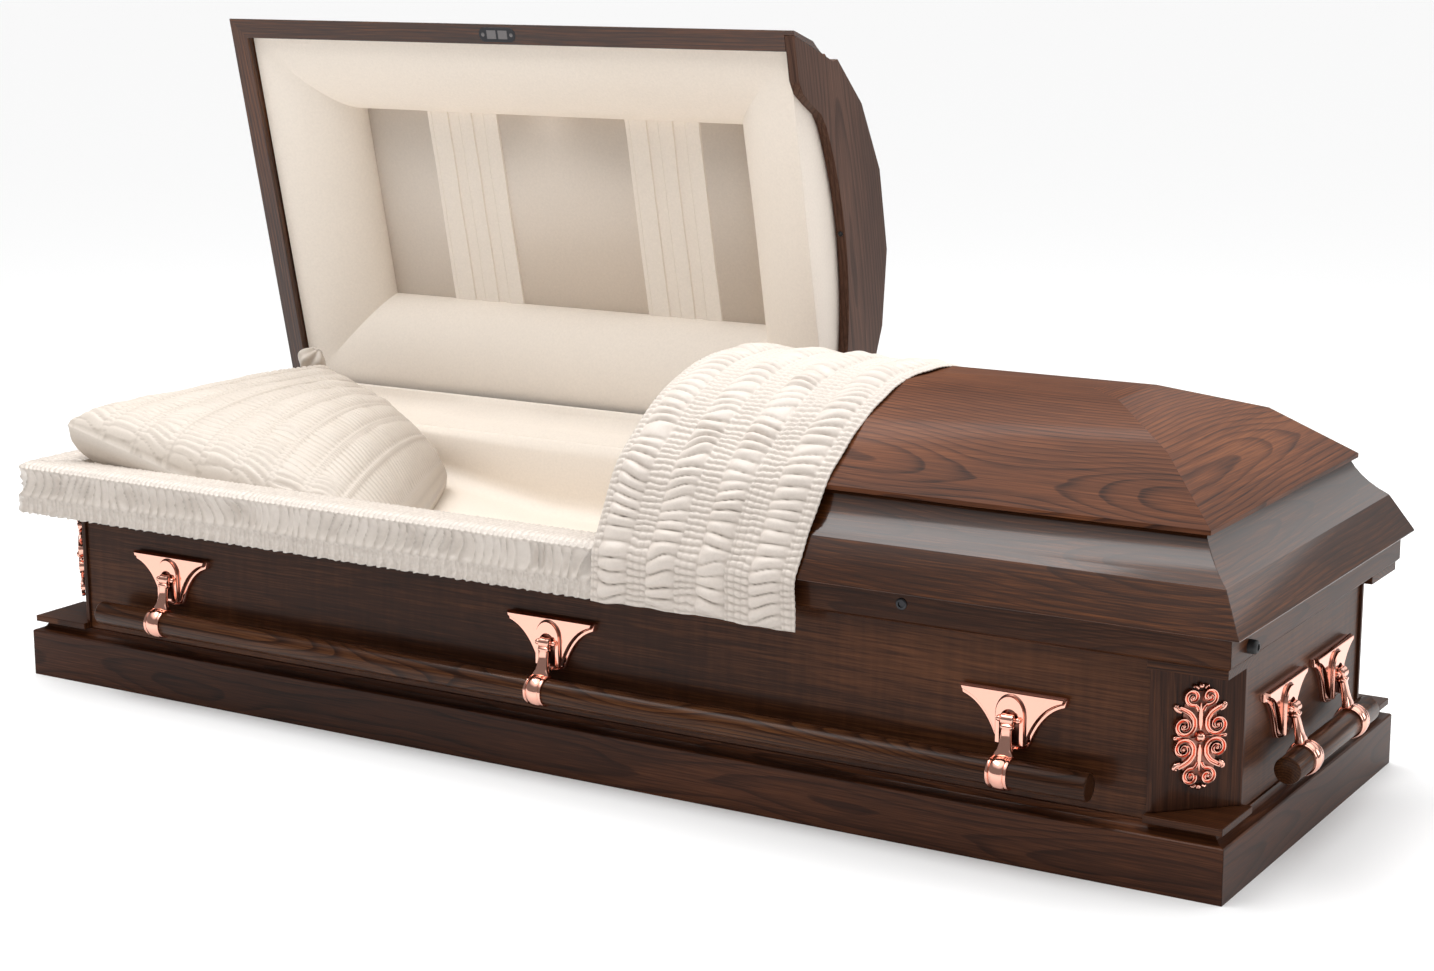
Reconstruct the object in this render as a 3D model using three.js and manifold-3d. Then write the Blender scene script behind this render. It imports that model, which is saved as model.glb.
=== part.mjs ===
// Wooden funeral casket with a divided lid, swing bar handles and a cloth interior.
// Millimetres, +Z up. +X points to the foot end, -Y to the front, where the lids open.
// The origin is the centre of the underside. The head lid stands open, the foot lid is closed.

import * as THREE from 'three';
import { mergeVertices } from 'three/addons/utils/BufferGeometryUtils.js';
import Module from 'manifold-3d';

const wasm = await Module();
wasm.setup();

// Overall size, taken over the lower edge of the lids
const CASKET_LENGTH = 2134;
const CASKET_WIDTH = 728;

// Clearances
const SEAT_GAP = 0.3;
const CLOTH_GAP = 0.6;
const LID_GAP = 1;
const LIDS_APART = 2;
const CORNER_EASE = 0.4;

// Base moulding
const BASE_SETBACK = 15;
const BASE_FACE = 77;
const BASE_SHOULDER_RISE = 14;
const BASE_SHOULDER_RUN = 19;
const BASE_RAIL = 45;
const BASE_ARRIS = 2;
const BOTTOM_BOARD = 12;

// Body walls, corner posts and their blocks
const BODY_SETBACK = 22;
const WALL = 18;
const BODY_HEIGHT = 220.5;
const POST_PROUD = 4;
const POST_LEG = 90;
const POST_FLAT = 6.5;
const POST_BOARD = 18;
const FOOT_BLOCK = 10.5;
const TOP_BLOCK = 12;
const BLOCK_SETBACK = 4.5;

// Top moulding, on which the lids close
const RIM_HEIGHT = 43.5;
const RIM_BEVEL = 4;

// Lids, as steps in from the lower edge and up from it
const SPLIT_X = 94;
const OPEN_ANGLE = 78;
const LID_RAIL = 34;
const LID_RAIL_FACE = 36;
const RIDGE_IN = 31;
const RIDGE_UP = 57.5;
const TIER_IN = 78;
const TIER_UP = 115;
const COVE_DEPTH = 9;
const TIER_SEAT = 24;
const LIP_IN = 68;
const LIP = 6.5;
const CREASE_IN = 170.5;
const CREASE_UP = 196;
const TOP_IN = 294;
const TOP_UP = 236.5;
const CROWN_BOARD = 15;
const HEADER_BOARD = 18;
const HEADER_FOOT_IN = 7.5;
const ARCH_RISE = 100;
const ARCH_HALF_SPAN = 283;

// Back hinges
const HINGE_BARREL = 3.5;
const HINGE_LEAF = 2.4;
const HINGE_DROP = 30;
const HINGE_END_GAP = 60;

// Swing bar handles
const LUG_DEPTH = 14.5;
const LUG_BACK_DEPTH = 8.5;
const LUG_TOP_Z = 237;
const LUG_HALF_WIDTH = 75;
const LUG_HEIGHT = 75;
const LUG_RIM = 7;
const BOSS_DEPTH = 19;
const BOSS_HALF_WIDTH = 20.5;
const RECESS_HALF_WIDTH = 13;
const PIVOT_OUT = 21;
const PIVOT_DROP = 35;
const BAR_OUT = 39;
const BAR_DROP = 68;
const BAR_DIAMETER = 38;
const KNUCKLE_RADIUS = 8.5;
const KNUCKLE_WIDTH = 16;
const PIN_RADIUS = 3.6;
const PIN_CLEARANCE = 0.6;
const CLIP_WALL = 4;
const CLIP_WIDTH = 27;
const SIDE_LUG_SPACING = 747;
const END_LUG_SPACING = 196;
const SIDE_BAR_OVERHANG = 126;
const END_BAR_OVERHANG = 70;

// Corner ornaments
const ORNAMENT_HEIGHT = 144;
const ORNAMENT_WIDTH = 76;
const ORNAMENT_PLATE = 4;
const ORNAMENT_Z = 202;
const SCROLL_WIRE = 4.2;

// Cloth parts
const LINING_WALL = 24;
const LINING_DEPTH = 129;
const LINING_UNDER = 26;
const RAMP_START_X = -430;
const RAMP_RISE = 88;
const PILLOW_HALF_WIDTH = 276;
const PILLOW_TOP = 91;
const PILLOW_PLUMP = 88;
const PILLOW_HEAD_TURN = 70;
const PILLOW_FOOT_X = -405;
const PILLOW_FOOT_TURN = 215;
const PILLOW_FOOT_EDGE = 30;
const PILLOW_OVERHANG = 20;
const OVERLAY_THICK = 12;
const OVERLAY_EASE = 2;
const OVERLAY_OUT = 17;
const OVERLAY_IN = 70;
const OVERLAY_DROP = 71;
const OVERLAY_BACK_END = 300;
const LID_LINING_SETBACK = 14;
const LID_RECESS_DEPTH = 115;
const LID_PUFF = 152;
const LID_LINING_BACKING = 9;
const THROW_WIDTH = 335;
const THROW_THICK = 5;
const THROW_DROP = 72;
const THROW_BACK_REACH = 30;

// Levels and half sizes that follow
const lidHalfX = CASKET_LENGTH / 2;
const lidHalfY = CASKET_WIDTH / 2;
const baseHalfX = lidHalfX - BASE_SETBACK;
const baseHalfY = lidHalfY - BASE_SETBACK;
const bodyHalfX = baseHalfX - BODY_SETBACK;
const bodyHalfY = baseHalfY - BODY_SETBACK;
const innerHalfX = bodyHalfX - WALL;
const innerHalfY = bodyHalfY - WALL;
const baseTop = BASE_FACE + BASE_SHOULDER_RISE;
const rimBottom = baseTop + BODY_HEIGHT;
const rimTop = rimBottom + RIM_HEIGHT;
const lidBottom = rimTop + LID_GAP;
const hingeY = lidHalfY + HINGE_BARREL + SEAT_GAP;
const hingeZ = rimTop + LID_GAP / 2;
const pivotZ = LUG_TOP_Z - PIVOT_DROP;
const barRadius = BAR_DIAMETER / 2;
const FAR = CASKET_LENGTH;

// Finishes
const finish = (color, roughness, metalness = 0) => (
  new THREE.MeshStandardMaterial({ color, roughness, metalness })
);
const darkWalnut = finish(0x2b1710, 0.38);
const redWalnut = finish(0x4a2517, 0.34);
const copper = finish(0xd98c72, 0.16, 1);
const steel = finish(0x4a4643, 0.4, 1);
const ivoryCloth = finish(0xf1e8da, 0.8);
const satinCloth = finish(0xf3eee6, 0.5);

// Closed meshes and solids
const facingOut = (geometry) => {
  const position = geometry.attributes.position;
  const index = geometry.index.array;
  const a = new THREE.Vector3();
  const b = new THREE.Vector3();
  const c = new THREE.Vector3();
  let volume = 0;
  for (let i = 0; i < index.length; i += 3) {
    a.fromBufferAttribute(position, index[i]);
    b.fromBufferAttribute(position, index[i + 1]);
    c.fromBufferAttribute(position, index[i + 2]);
    volume += a.dot(b.cross(c));
  }
  if (volume < 0) {
    for (let i = 0; i < index.length; i += 3) {
      const first = index[i];
      index[i] = index[i + 1];
      index[i + 1] = first;
    }
  }
  return geometry;
};

const plainMesh = (geometry) => {
  const plain = geometry.clone();
  plain.deleteAttribute('normal');
  plain.deleteAttribute('uv');
  return facingOut(mergeVertices(plain, 1e-4));
};

const toSolid = (geometry) => {
  const plain = plainMesh(geometry);
  return new wasm.Manifold(new wasm.Mesh({
    numProp: 3,
    vertProperties: new Float32Array(plain.attributes.position.array),
    triVerts: new Uint32Array(plain.index.array),
  }));
};

const toGeometry = (solid) => {
  const mesh = solid.getMesh();
  const geometry = new THREE.BufferGeometry();
  geometry.setAttribute('position', new THREE.BufferAttribute(mesh.vertProperties, 3));
  geometry.setIndex(new THREE.BufferAttribute(mesh.triVerts, 1));
  return geometry;
};

const join = (first, ...others) => (
  toGeometry(others.reduce((sum, other) => sum.add(toSolid(other)), toSolid(first)))
);
const cut = (first, ...others) => (
  toGeometry(others.reduce((rest, other) => rest.subtract(toSolid(other)), toSolid(first)))
);

const box = (x, y, z) => {
  const geometry = new THREE.BoxGeometry(x[1] - x[0], y[1] - y[0], z[1] - z[0]);
  return geometry.translate((x[0] + x[1]) / 2, (y[0] + y[1]) / 2, (z[0] + z[1]) / 2);
};

const prism = (points, depth) => {
  const outline = new THREE.Shape(points.map(([x, y]) => new THREE.Vector2(x, y)));
  return new THREE.ExtrudeGeometry(outline, { depth, bevelEnabled: false });
};

// A prism whose outline lies in Y and Z and whose length runs along X
const lengthwise = (points, fromX, toX) => {
  const turn = new THREE.Matrix4().makeBasis(
    new THREE.Vector3(0, 1, 0),
    new THREE.Vector3(0, 0, 1),
    new THREE.Vector3(1, 0, 0),
  );
  return prism(points, toX - fromX).applyMatrix4(turn).translate(fromX, 0, 0);
};

// A skin over loops of points, either closed on itself or capped at both ends
const skin = (loops, closes) => {
  const count = loops[0].length;
  const indices = [];
  const bands = closes ? loops.length : loops.length - 1;
  for (let band = 0; band < bands; band += 1) {
    const low = band * count;
    const high = ((band + 1) % loops.length) * count;
    for (let i = 0; i < count; i += 1) {
      const next = (i + 1) % count;
      indices.push(low + i, low + next, high + next, low + i, high + next, high + i);
    }
  }
  if (!closes) {
    const last = (loops.length - 1) * count;
    for (let i = 1; i < count - 1; i += 1) {
      indices.push(0, i + 1, i, last, last + i, last + i + 1);
    }
  }
  const geometry = new THREE.BufferGeometry();
  const values = loops.flat().flatMap((point) => point.toArray());
  geometry.setAttribute('position', new THREE.Float32BufferAttribute(values, 3));
  geometry.setIndex(new THREE.Uint32BufferAttribute(indices, 1));
  return geometry;
};

// A rectangle in plan with its corners eased by a small flat
const planLoop = (halfX, halfY, z, ease) => {
  const loop = [];
  for (const [sx, sy] of [[1, 1], [-1, 1], [-1, -1], [1, -1]]) {
    const alongX = new THREE.Vector3(sx * (halfX - ease), sy * halfY, z);
    const alongY = new THREE.Vector3(sx * halfX, sy * (halfY - ease), z);
    loop.push(...(sx * sy > 0 ? [alongY, alongX] : [alongX, alongY]));
  }
  return loop;
};

// A mitred frame: the section is carried round a rectangle, each point a step in from its edge
const frame = (section, halfX, halfY, ease = CORNER_EASE) => (
  skin(section.map(([inset, z]) => planLoop(halfX - inset, halfY - inset, z, ease)), true)
);
const hip = (steps, halfX, halfY, ease = CORNER_EASE) => (
  skin(steps.map(([inset, z]) => planLoop(halfX - inset, halfY - inset, z, ease)), false)
);

const casket = new THREE.Group();
const place = (parent, name, geometry, material) => {
  const mesh = new THREE.Mesh(geometry, material);
  mesh.name = name;
  parent.add(mesh);
  return mesh;
};

// Base moulding: a tall plain face, an eased arris and a hollow shoulder up to the body
const baseSection = () => {
  const section = [[0, 0], [0, BASE_FACE - BASE_ARRIS], [BASE_ARRIS, BASE_FACE]];
  const steps = 5;
  for (let i = 1; i <= steps; i += 1) {
    const angle = (i / steps) * Math.PI / 2;
    section.push([
      BASE_ARRIS + (BASE_SHOULDER_RUN - BASE_ARRIS) * Math.sin(angle),
      BASE_FACE + BASE_SHOULDER_RISE * (1 - Math.cos(angle)),
    ]);
  }
  section.push([BASE_RAIL, baseTop], [BASE_RAIL, 0]);
  return section;
};
place(casket, 'base_moulding', frame(baseSection(), baseHalfX, baseHalfY), darkWalnut);

const boardHalfX = baseHalfX - BASE_RAIL - SEAT_GAP;
const boardHalfY = baseHalfY - BASE_RAIL - SEAT_GAP;
place(
  casket,
  'bottom_board',
  box([-boardHalfX, boardHalfX], [-boardHalfY, boardHalfY], [0, BOTTOM_BOARD]),
  darkWalnut,
);

// Corner posts and blocks. Each outline is drawn for the quarter where X and Y are positive.
const postX = bodyHalfX + POST_PROUD;
const postY = bodyHalfY + POST_PROUD;
const blockX = baseHalfX - BLOCK_SETBACK;
const blockY = baseHalfY - BLOCK_SETBACK;
const postFrontX = postX - POST_LEG - POST_FLAT;
const postEndY = postY - POST_LEG - POST_FLAT;
const cantInner = postX + postY - POST_LEG - POST_BOARD * Math.SQRT2;
const cornerBack = [
  [innerHalfX, postEndY],
  [innerHalfX, cantInner - innerHalfX],
  [cantInner - innerHalfY, innerHalfY],
  [postFrontX, innerHalfY],
];
const postOutline = [
  ...cornerBack,
  [postFrontX, postY],
  [postX - POST_LEG, postY],
  [postX, postY - POST_LEG],
  [postX, postEndY],
];
const blockOutline = [
  ...cornerBack,
  [postFrontX, blockY],
  [blockX, blockY],
  [blockX, postEndY],
];
const corners = [
  { name: 'front_foot', sx: 1, sy: -1, turn: Math.PI / 4 },
  { name: 'front_head', sx: -1, sy: -1, turn: -Math.PI / 4 },
  { name: 'back_foot', sx: 1, sy: 1, turn: 3 * Math.PI / 4 },
  { name: 'back_head', sx: -1, sy: 1, turn: -3 * Math.PI / 4 },
];
const postBottom = baseTop + FOOT_BLOCK + SEAT_GAP;
const postTop = rimBottom - TOP_BLOCK - SEAT_GAP;
for (const corner of corners) {
  const mirrored = (outline) => outline.map(([x, y]) => [corner.sx * x, corner.sy * y]);
  const block = (bottom, height) => prism(mirrored(blockOutline), height).translate(0, 0, bottom);
  const post = prism(mirrored(postOutline), postTop - postBottom - SEAT_GAP);
  place(casket, `${corner.name}_foot_block`, block(baseTop + SEAT_GAP, FOOT_BLOCK - SEAT_GAP), darkWalnut);
  place(casket, `${corner.name}_post`, post.translate(0, 0, postBottom), darkWalnut);
  place(casket, `${corner.name}_top_block`, block(postTop, TOP_BLOCK), darkWalnut);
}

// Side and end panels stand on the base between the posts
const panelZ = [baseTop + SEAT_GAP, rimBottom - SEAT_GAP];
const panelHalfX = postFrontX - SEAT_GAP;
const panelHalfY = postEndY - SEAT_GAP;
const sideX = [-panelHalfX, panelHalfX];
const endY = [-panelHalfY, panelHalfY];
place(casket, 'front_panel', box(sideX, [-bodyHalfY, -innerHalfY], panelZ), darkWalnut);
place(casket, 'back_panel', box(sideX, [innerHalfY, bodyHalfY], panelZ), darkWalnut);
place(casket, 'head_panel', box([-bodyHalfX, -innerHalfX], endY, panelZ), darkWalnut);
place(casket, 'foot_panel', box([innerHalfX, bodyHalfX], endY, panelZ), darkWalnut);

// Top moulding, a plain rim with its lower edge bevelled
const rimDepth = baseHalfX - innerHalfX;
const rimSection = [
  [RIM_BEVEL, rimBottom],
  [0, rimBottom + RIM_BEVEL],
  [0, rimTop - 1],
  [1, rimTop],
  [rimDepth, rimTop],
  [rimDepth, rimBottom],
];
place(casket, 'top_moulding', frame(rimSection, baseHalfX, baseHalfY), darkWalnut);

// Corner ornament: a lobed plate with paired scrolls, drawn facing +Z with Y up
const volute = (radius, x, y) => {
  const drum = new THREE.CylinderGeometry(radius * 0.6, radius, SCROLL_WIRE * 3, 8);
  return drum.rotateX(Math.PI / 2).translate(x, y, ORNAMENT_PLATE);
};
const tendril = (from, bend, to) => {
  const path = new THREE.QuadraticBezierCurve3(
    new THREE.Vector3(...from, ORNAMENT_PLATE + 1),
    new THREE.Vector3(...bend, ORNAMENT_PLATE + 3),
    new THREE.Vector3(...to, ORNAMENT_PLATE + 0.5),
  );
  const wire = SCROLL_WIRE * 0.9;
  const section = new THREE.Shape();
  section.moveTo(wire, 0);
  section.lineTo(0, wire);
  section.lineTo(-wire, 0);
  section.lineTo(0, -wire);
  return new THREE.ExtrudeGeometry(section, { extrudePath: path, steps: 3 });
};
const bead = (radius, x, y) => (
  new THREE.IcosahedronGeometry(radius).scale(1, 1, 0.9).translate(x, y, ORNAMENT_PLATE)
);
const ornament = () => {
  const halfWidth = ORNAMENT_WIDTH / 2;
  const halfHeight = ORNAMENT_HEIGHT / 2;
  const outline = [];
  const lobes = 24;
  for (let i = 0; i < lobes; i += 1) {
    const angle = (i / lobes) * 2 * Math.PI;
    const lobe = 0.9 + 0.06 * Math.cos(8 * angle);
    outline.push([halfWidth * lobe * Math.cos(angle), halfHeight * lobe * Math.sin(angle)]);
  }
  const voluteX = halfWidth * 0.64;
  const voluteY = halfHeight * 0.23;
  const crestX = halfWidth * 0.28;
  const crestY = halfHeight * 0.74;
  const parts = [bead(6, 0, 0)];
  for (const up of [1, -1]) {
    parts.push(bead(5, 0, up * (halfHeight - 5)));
    for (const side of [1, -1]) {
      parts.push(volute(halfWidth * 0.34, side * voluteX, up * voluteY));
      parts.push(bead(8, side * crestX, up * crestY));
      parts.push(tendril(
        [side * halfWidth * 0.38, up * voluteY],
        [side * halfWidth * 0.1, up * halfHeight * 0.5],
        [side * halfWidth * 0.82, up * halfHeight * 0.56],
      ));
    }
  }
  return join(prism(outline, ORNAMENT_PLATE), ...parts);
};
const ornamentSolid = cut(ornament(), box([-FAR, FAR], [-FAR, FAR], [-FAR, 0]));
for (const corner of corners) {
  const around = new THREE.Group();
  around.rotation.z = corner.turn;
  around.position.set(
    corner.sx * (postX - POST_LEG / 2),
    corner.sy * (postY - POST_LEG / 2),
    ORNAMENT_Z,
  );
  const mesh = place(around, `${corner.name}_ornament`, ornamentSolid, copper);
  mesh.rotation.x = Math.PI / 2;
  mesh.position.y = -SEAT_GAP;
  casket.add(around);
}

// Handle plate, drawn facing +Z with its pivot at the origin: a winged plate on a wider rim,
// with an arched boss and a recess that the arm's knuckle turns in
const wing = (grow) => {
  const half = new THREE.QuadraticBezierCurve(
    new THREE.Vector2(LUG_HALF_WIDTH - 2 + grow * 0.3, -5 - grow),
    new THREE.Vector2(LUG_HALF_WIDTH * 0.5 + grow * 0.6, -LUG_HEIGHT * 0.2 - grow),
    new THREE.Vector2(LUG_HALF_WIDTH * 0.26 + grow * 0.6, LUG_RIM - LUG_HEIGHT - grow * 0.6),
  );
  return half.getPoints(5).map((point) => [point.x, point.y]);
};
const lugOutline = (grow) => {
  const right = [[LUG_HALF_WIDTH + grow * 0.45, 0], ...wing(grow)];
  const left = right.map(([x, y]) => [-x, y]).reverse();
  return [...right, [0, -LUG_HEIGHT - grow * 0.4 + LUG_RIM * 0.4], ...left];
};
const arch = (halfWidth, top, bottom) => {
  const outline = [[halfWidth, bottom]];
  const steps = 6;
  const spring = top - halfWidth * 1.15;
  for (let i = 0; i <= steps; i += 1) {
    const angle = (i / steps) * Math.PI;
    outline.push([halfWidth * Math.cos(angle), spring + (top - spring) * Math.sin(angle)]);
  }
  outline.push([-halfWidth, bottom]);
  return outline;
};
const alongX = (radius, width, sides) => (
  new THREE.CylinderGeometry(radius, radius, width, sides).rotateZ(Math.PI / 2)
);
const pinLength = 2 * BOSS_HALF_WIDTH - 5;
const handlePlate = () => {
  const back = prism(lugOutline(LUG_RIM), LUG_BACK_DEPTH);
  const face = prism(lugOutline(0), LUG_DEPTH);
  const boss = prism(arch(BOSS_HALF_WIDTH, -5, 8 - LUG_HEIGHT), BOSS_DEPTH);
  const recess = prism(arch(RECESS_HALF_WIDTH, 12 - PIVOT_DROP, -LUG_HEIGHT - LUG_RIM), BOSS_DEPTH);
  const pinSeat = alongX(PIN_RADIUS + PIN_CLEARANCE, pinLength + 2 * PIN_CLEARANCE, 8);
  const floorDepth = PIVOT_OUT - KNUCKLE_RADIUS - 3;
  const shape = cut(
    join(back, face, boss),
    recess.translate(0, 0, floorDepth),
    pinSeat.translate(0, -PIVOT_DROP, PIVOT_OUT),
  );
  return shape.translate(0, PIVOT_DROP, -PIVOT_OUT);
};

// Arm: a knuckle on a cross pin, a tapered shank and a ringed clip round the bar
const armLength = Math.hypot(BAR_DROP, BAR_OUT - PIVOT_OUT);
const armLean = Math.atan2(BAR_OUT - PIVOT_OUT, BAR_DROP);
const clipSides = 16;
const clipInner = (barRadius + SEAT_GAP) / Math.cos(Math.PI / clipSides);
const clipRing = () => {
  const half = CLIP_WIDTH / 2;
  const section = [
    [clipInner, -half],
    [clipInner + CLIP_WALL, -half],
    [clipInner + CLIP_WALL, half],
    [clipInner, half],
    [clipInner, -half],
  ];
  const points = section.map(([radius, along]) => new THREE.Vector2(radius, along));
  return new THREE.LatheGeometry(points, clipSides).rotateZ(Math.PI / 2);
};
const shank = () => {
  const loop = (y, halfX, halfZ) => [
    new THREE.Vector3(halfX, y, halfZ),
    new THREE.Vector3(halfX, y, -halfZ),
    new THREE.Vector3(-halfX, y, -halfZ),
    new THREE.Vector3(-halfX, y, halfZ),
  ];
  return skin([
    loop(barRadius + CLIP_WALL / 2 - armLength, 12, 4.5),
    loop(barRadius + CLIP_WALL + 8 - armLength, 9, 5.5),
    loop(-KNUCKLE_RADIUS, 6.5, 5),
    loop(0, 6, 4.5),
  ], false);
};
const handleArm = () => join(
  alongX(KNUCKLE_RADIUS, KNUCKLE_WIDTH, 10),
  alongX(PIN_RADIUS, pinLength, 8),
  shank(),
  clipRing().translate(0, -armLength, 0),
).rotateX(-armLean);

const sides = [
  { name: 'front', turn: 0, wall: bodyHalfY, lugs: [-1, 0, 1], spacing: SIDE_LUG_SPACING },
  { name: 'back', turn: Math.PI, wall: bodyHalfY, lugs: [-1, 0, 1], spacing: SIDE_LUG_SPACING },
  { name: 'head', turn: -Math.PI / 2, wall: bodyHalfX, lugs: [-0.5, 0.5], spacing: END_LUG_SPACING },
  { name: 'foot', turn: Math.PI / 2, wall: bodyHalfX, lugs: [-0.5, 0.5], spacing: END_LUG_SPACING },
];
const plateSolid = handlePlate();
const armSolid = handleArm();
for (const side of sides) {
  const outside = new THREE.Group();
  outside.rotation.z = side.turn;
  const upright = new THREE.Group();
  upright.rotation.x = Math.PI / 2;
  upright.position.set(0, -side.wall - PIVOT_OUT, pivotZ);
  outside.add(upright);
  casket.add(outside);
  side.lugs.forEach((step, i) => {
    const plate = place(upright, `${side.name}_handle_plate_${i + 1}`, plateSolid, copper);
    plate.position.set(step * side.spacing, 0, SEAT_GAP);
    const arm = place(upright, `${side.name}_handle_arm_${i + 1}`, armSolid, copper);
    arm.position.set(step * side.spacing, 0, SEAT_GAP);
  });
  const outermost = side.lugs[side.lugs.length - 1] * side.spacing;
  const overhang = side.lugs.length > 2 ? SIDE_BAR_OVERHANG : END_BAR_OVERHANG;
  const bar = alongX(barRadius, 2 * (outermost + overhang), 24);
  const barMesh = place(upright, `${side.name}_handle_bar`, bar, redWalnut);
  barMesh.position.set(0, -BAR_DROP, BAR_OUT - PIVOT_OUT + SEAT_GAP);
}

// Back hinges: a leaf on the rim's back face that carries the barrel out to the lid's edge
const hingeStrip = (fromX, toX) => {
  const leafY = baseHalfY + SEAT_GAP;
  const leaf = [
    [leafY, rimTop - HINGE_DROP],
    [leafY + HINGE_LEAF, rimTop - HINGE_DROP],
    [leafY + HINGE_LEAF, hingeZ - HINGE_BARREL - 4],
    [hingeY, hingeZ - HINGE_BARREL],
    [hingeY - HINGE_BARREL, hingeZ],
    [leafY, hingeZ - HINGE_BARREL - 2],
  ];
  const barrel = alongX(HINGE_BARREL, toX - fromX, 10).translate((fromX + toX) / 2, hingeY, hingeZ);
  return join(lengthwise(leaf, fromX, toX), barrel);
};
const hingeFar = baseHalfX - HINGE_END_GAP;
const headHinge = hingeStrip(-hingeFar, SPLIT_X - HINGE_END_GAP);
const footHinge = hingeStrip(SPLIT_X + HINGE_END_GAP, hingeFar);
place(casket, 'head_lid_hinge_strip', headHinge, steel);
place(casket, 'foot_lid_hinge_strip', footHinge, steel);

// Lids, drawn closed over the whole casket and cut at the split
const tierSection = () => {
  const section = [[0, lidBottom], [0, lidBottom + 2], [RIDGE_IN, lidBottom + RIDGE_UP]];
  const cove = new THREE.QuadraticBezierCurve(
    new THREE.Vector2(RIDGE_IN, RIDGE_UP),
    new THREE.Vector2((RIDGE_IN + TIER_IN) / 2 + COVE_DEPTH, (RIDGE_UP + TIER_UP) / 2 - COVE_DEPTH / 2),
    new THREE.Vector2(TIER_IN, TIER_UP),
  );
  for (const point of cove.getPoints(5).slice(1)) {
    section.push([point.x, lidBottom + point.y]);
  }
  section.push([TIER_IN + TIER_SEAT, lidBottom + TIER_UP]);
  section.push([LID_RAIL, lidBottom + LID_RAIL_FACE]);
  section.push([LID_RAIL, lidBottom]);
  return section;
};
const crownBottom = lidBottom + TIER_UP + SEAT_GAP;
const crownSteps = [
  [LIP_IN, crownBottom],
  [LIP_IN, crownBottom + LIP],
  [CREASE_IN, lidBottom + CREASE_UP],
  [TOP_IN, lidBottom + TOP_UP],
];
const crownHollow = [
  [TIER_IN + TIER_SEAT * 0.75, crownBottom - 1],
  [CREASE_IN + CROWN_BOARD * 0.45, lidBottom + CREASE_UP - CROWN_BOARD],
  [TOP_IN + CROWN_BOARD * 0.2, lidBottom + TOP_UP - CROWN_BOARD],
];
const tierRing = frame(tierSection(), lidHalfX, lidHalfY);
const crownShell = cut(
  hip(crownSteps, lidHalfX, lidHalfY),
  hip(crownHollow, lidHalfX, lidHalfY),
);

// Header board that closes a lid at the split, arched along its lower edge
const crownUpAt = (inset) => THREE.MathUtils.mapLinear(
  inset,
  LIP_IN,
  CREASE_IN,
  TIER_UP + SEAT_GAP + LIP,
  CREASE_UP,
);
const archHeight = (y) => {
  const reach = Math.abs(y) / ARCH_HALF_SPAN;
  const bow = 1 - 0.62 * reach * reach;
  const foot = THREE.MathUtils.smoothstep(1 - reach, 0, 0.3);
  return ARCH_RISE * bow * foot;
};
const headerOutline = () => {
  const half = [
    [lidHalfY - HEADER_FOOT_IN, 0],
    [lidHalfY - TIER_IN - SEAT_GAP, TIER_UP],
    [lidHalfY - TIER_IN - SEAT_GAP, crownUpAt(TIER_IN + SEAT_GAP)],
    [lidHalfY - CREASE_IN, CREASE_UP],
    [lidHalfY - TOP_IN, TOP_UP],
  ];
  const outline = [...half, ...half.map(([y, up]) => [-y, up]).reverse()];
  const steps = 24;
  for (let i = 0; i <= steps; i += 1) {
    const y = ARCH_HALF_SPAN * (2 * i / steps - 1);
    outline.push([y, archHeight(y)]);
  }
  return outline.map(([y, up]) => [y, lidBottom + up]);
};
const headerRoom = (fromX, toX) => {
  const half = lidHalfY - HEADER_FOOT_IN + SEAT_GAP;
  const top = lidHalfY - TIER_IN;
  return lengthwise([
    [-half, lidBottom - 1],
    [half, lidBottom - 1],
    [half, lidBottom],
    [top, lidBottom + TIER_UP],
    [top, lidBottom + TOP_UP + 1],
    [-top, lidBottom + TOP_UP + 1],
    [-top, lidBottom + TIER_UP],
    [-half, lidBottom],
  ], fromX, toX);
};

// One lid: everything on the given side of the split. toward is -1 for the head, 1 for the foot.
const buildLid = (name, toward, parent) => {
  const cutX = SPLIT_X + toward * LIDS_APART / 2;
  const beyond = [cutX - toward * FAR * 2, cutX].sort((a, b) => a - b);
  const boardX = [cutX, cutX + toward * HEADER_BOARD].sort((a, b) => a - b);
  const roomX = [cutX - toward, cutX + toward * (HEADER_BOARD + SEAT_GAP)].sort((a, b) => a - b);
  const crownX = [cutX - toward * FAR * 2, cutX + toward * (HEADER_BOARD + SEAT_GAP)].sort((a, b) => a - b);
  const everyY = [-FAR, FAR];
  const everyZ = [-FAR, FAR];
  const tier = cut(tierRing, box(beyond, everyY, everyZ), headerRoom(...roomX));
  const crown = cut(crownShell, box(crownX, everyY, everyZ));
  place(parent, `${name}_lid_moulding`, tier, darkWalnut);
  place(parent, `${name}_lid_crown`, crown, redWalnut);
  place(parent, `${name}_lid_header`, lengthwise(headerOutline(), ...boardX), redWalnut);
};

const hinged = (angle) => {
  const pivot = new THREE.Group();
  pivot.position.set(0, hingeY, hingeZ);
  pivot.rotation.x = -THREE.MathUtils.degToRad(angle);
  const back = new THREE.Group();
  back.position.set(0, -hingeY, -hingeZ);
  pivot.add(back);
  casket.add(pivot);
  return back;
};
const headLid = hinged(OPEN_ANGLE);
const footLid = hinged(0);
buildLid('head', -1, headLid);
buildLid('foot', 1, footLid);

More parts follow.
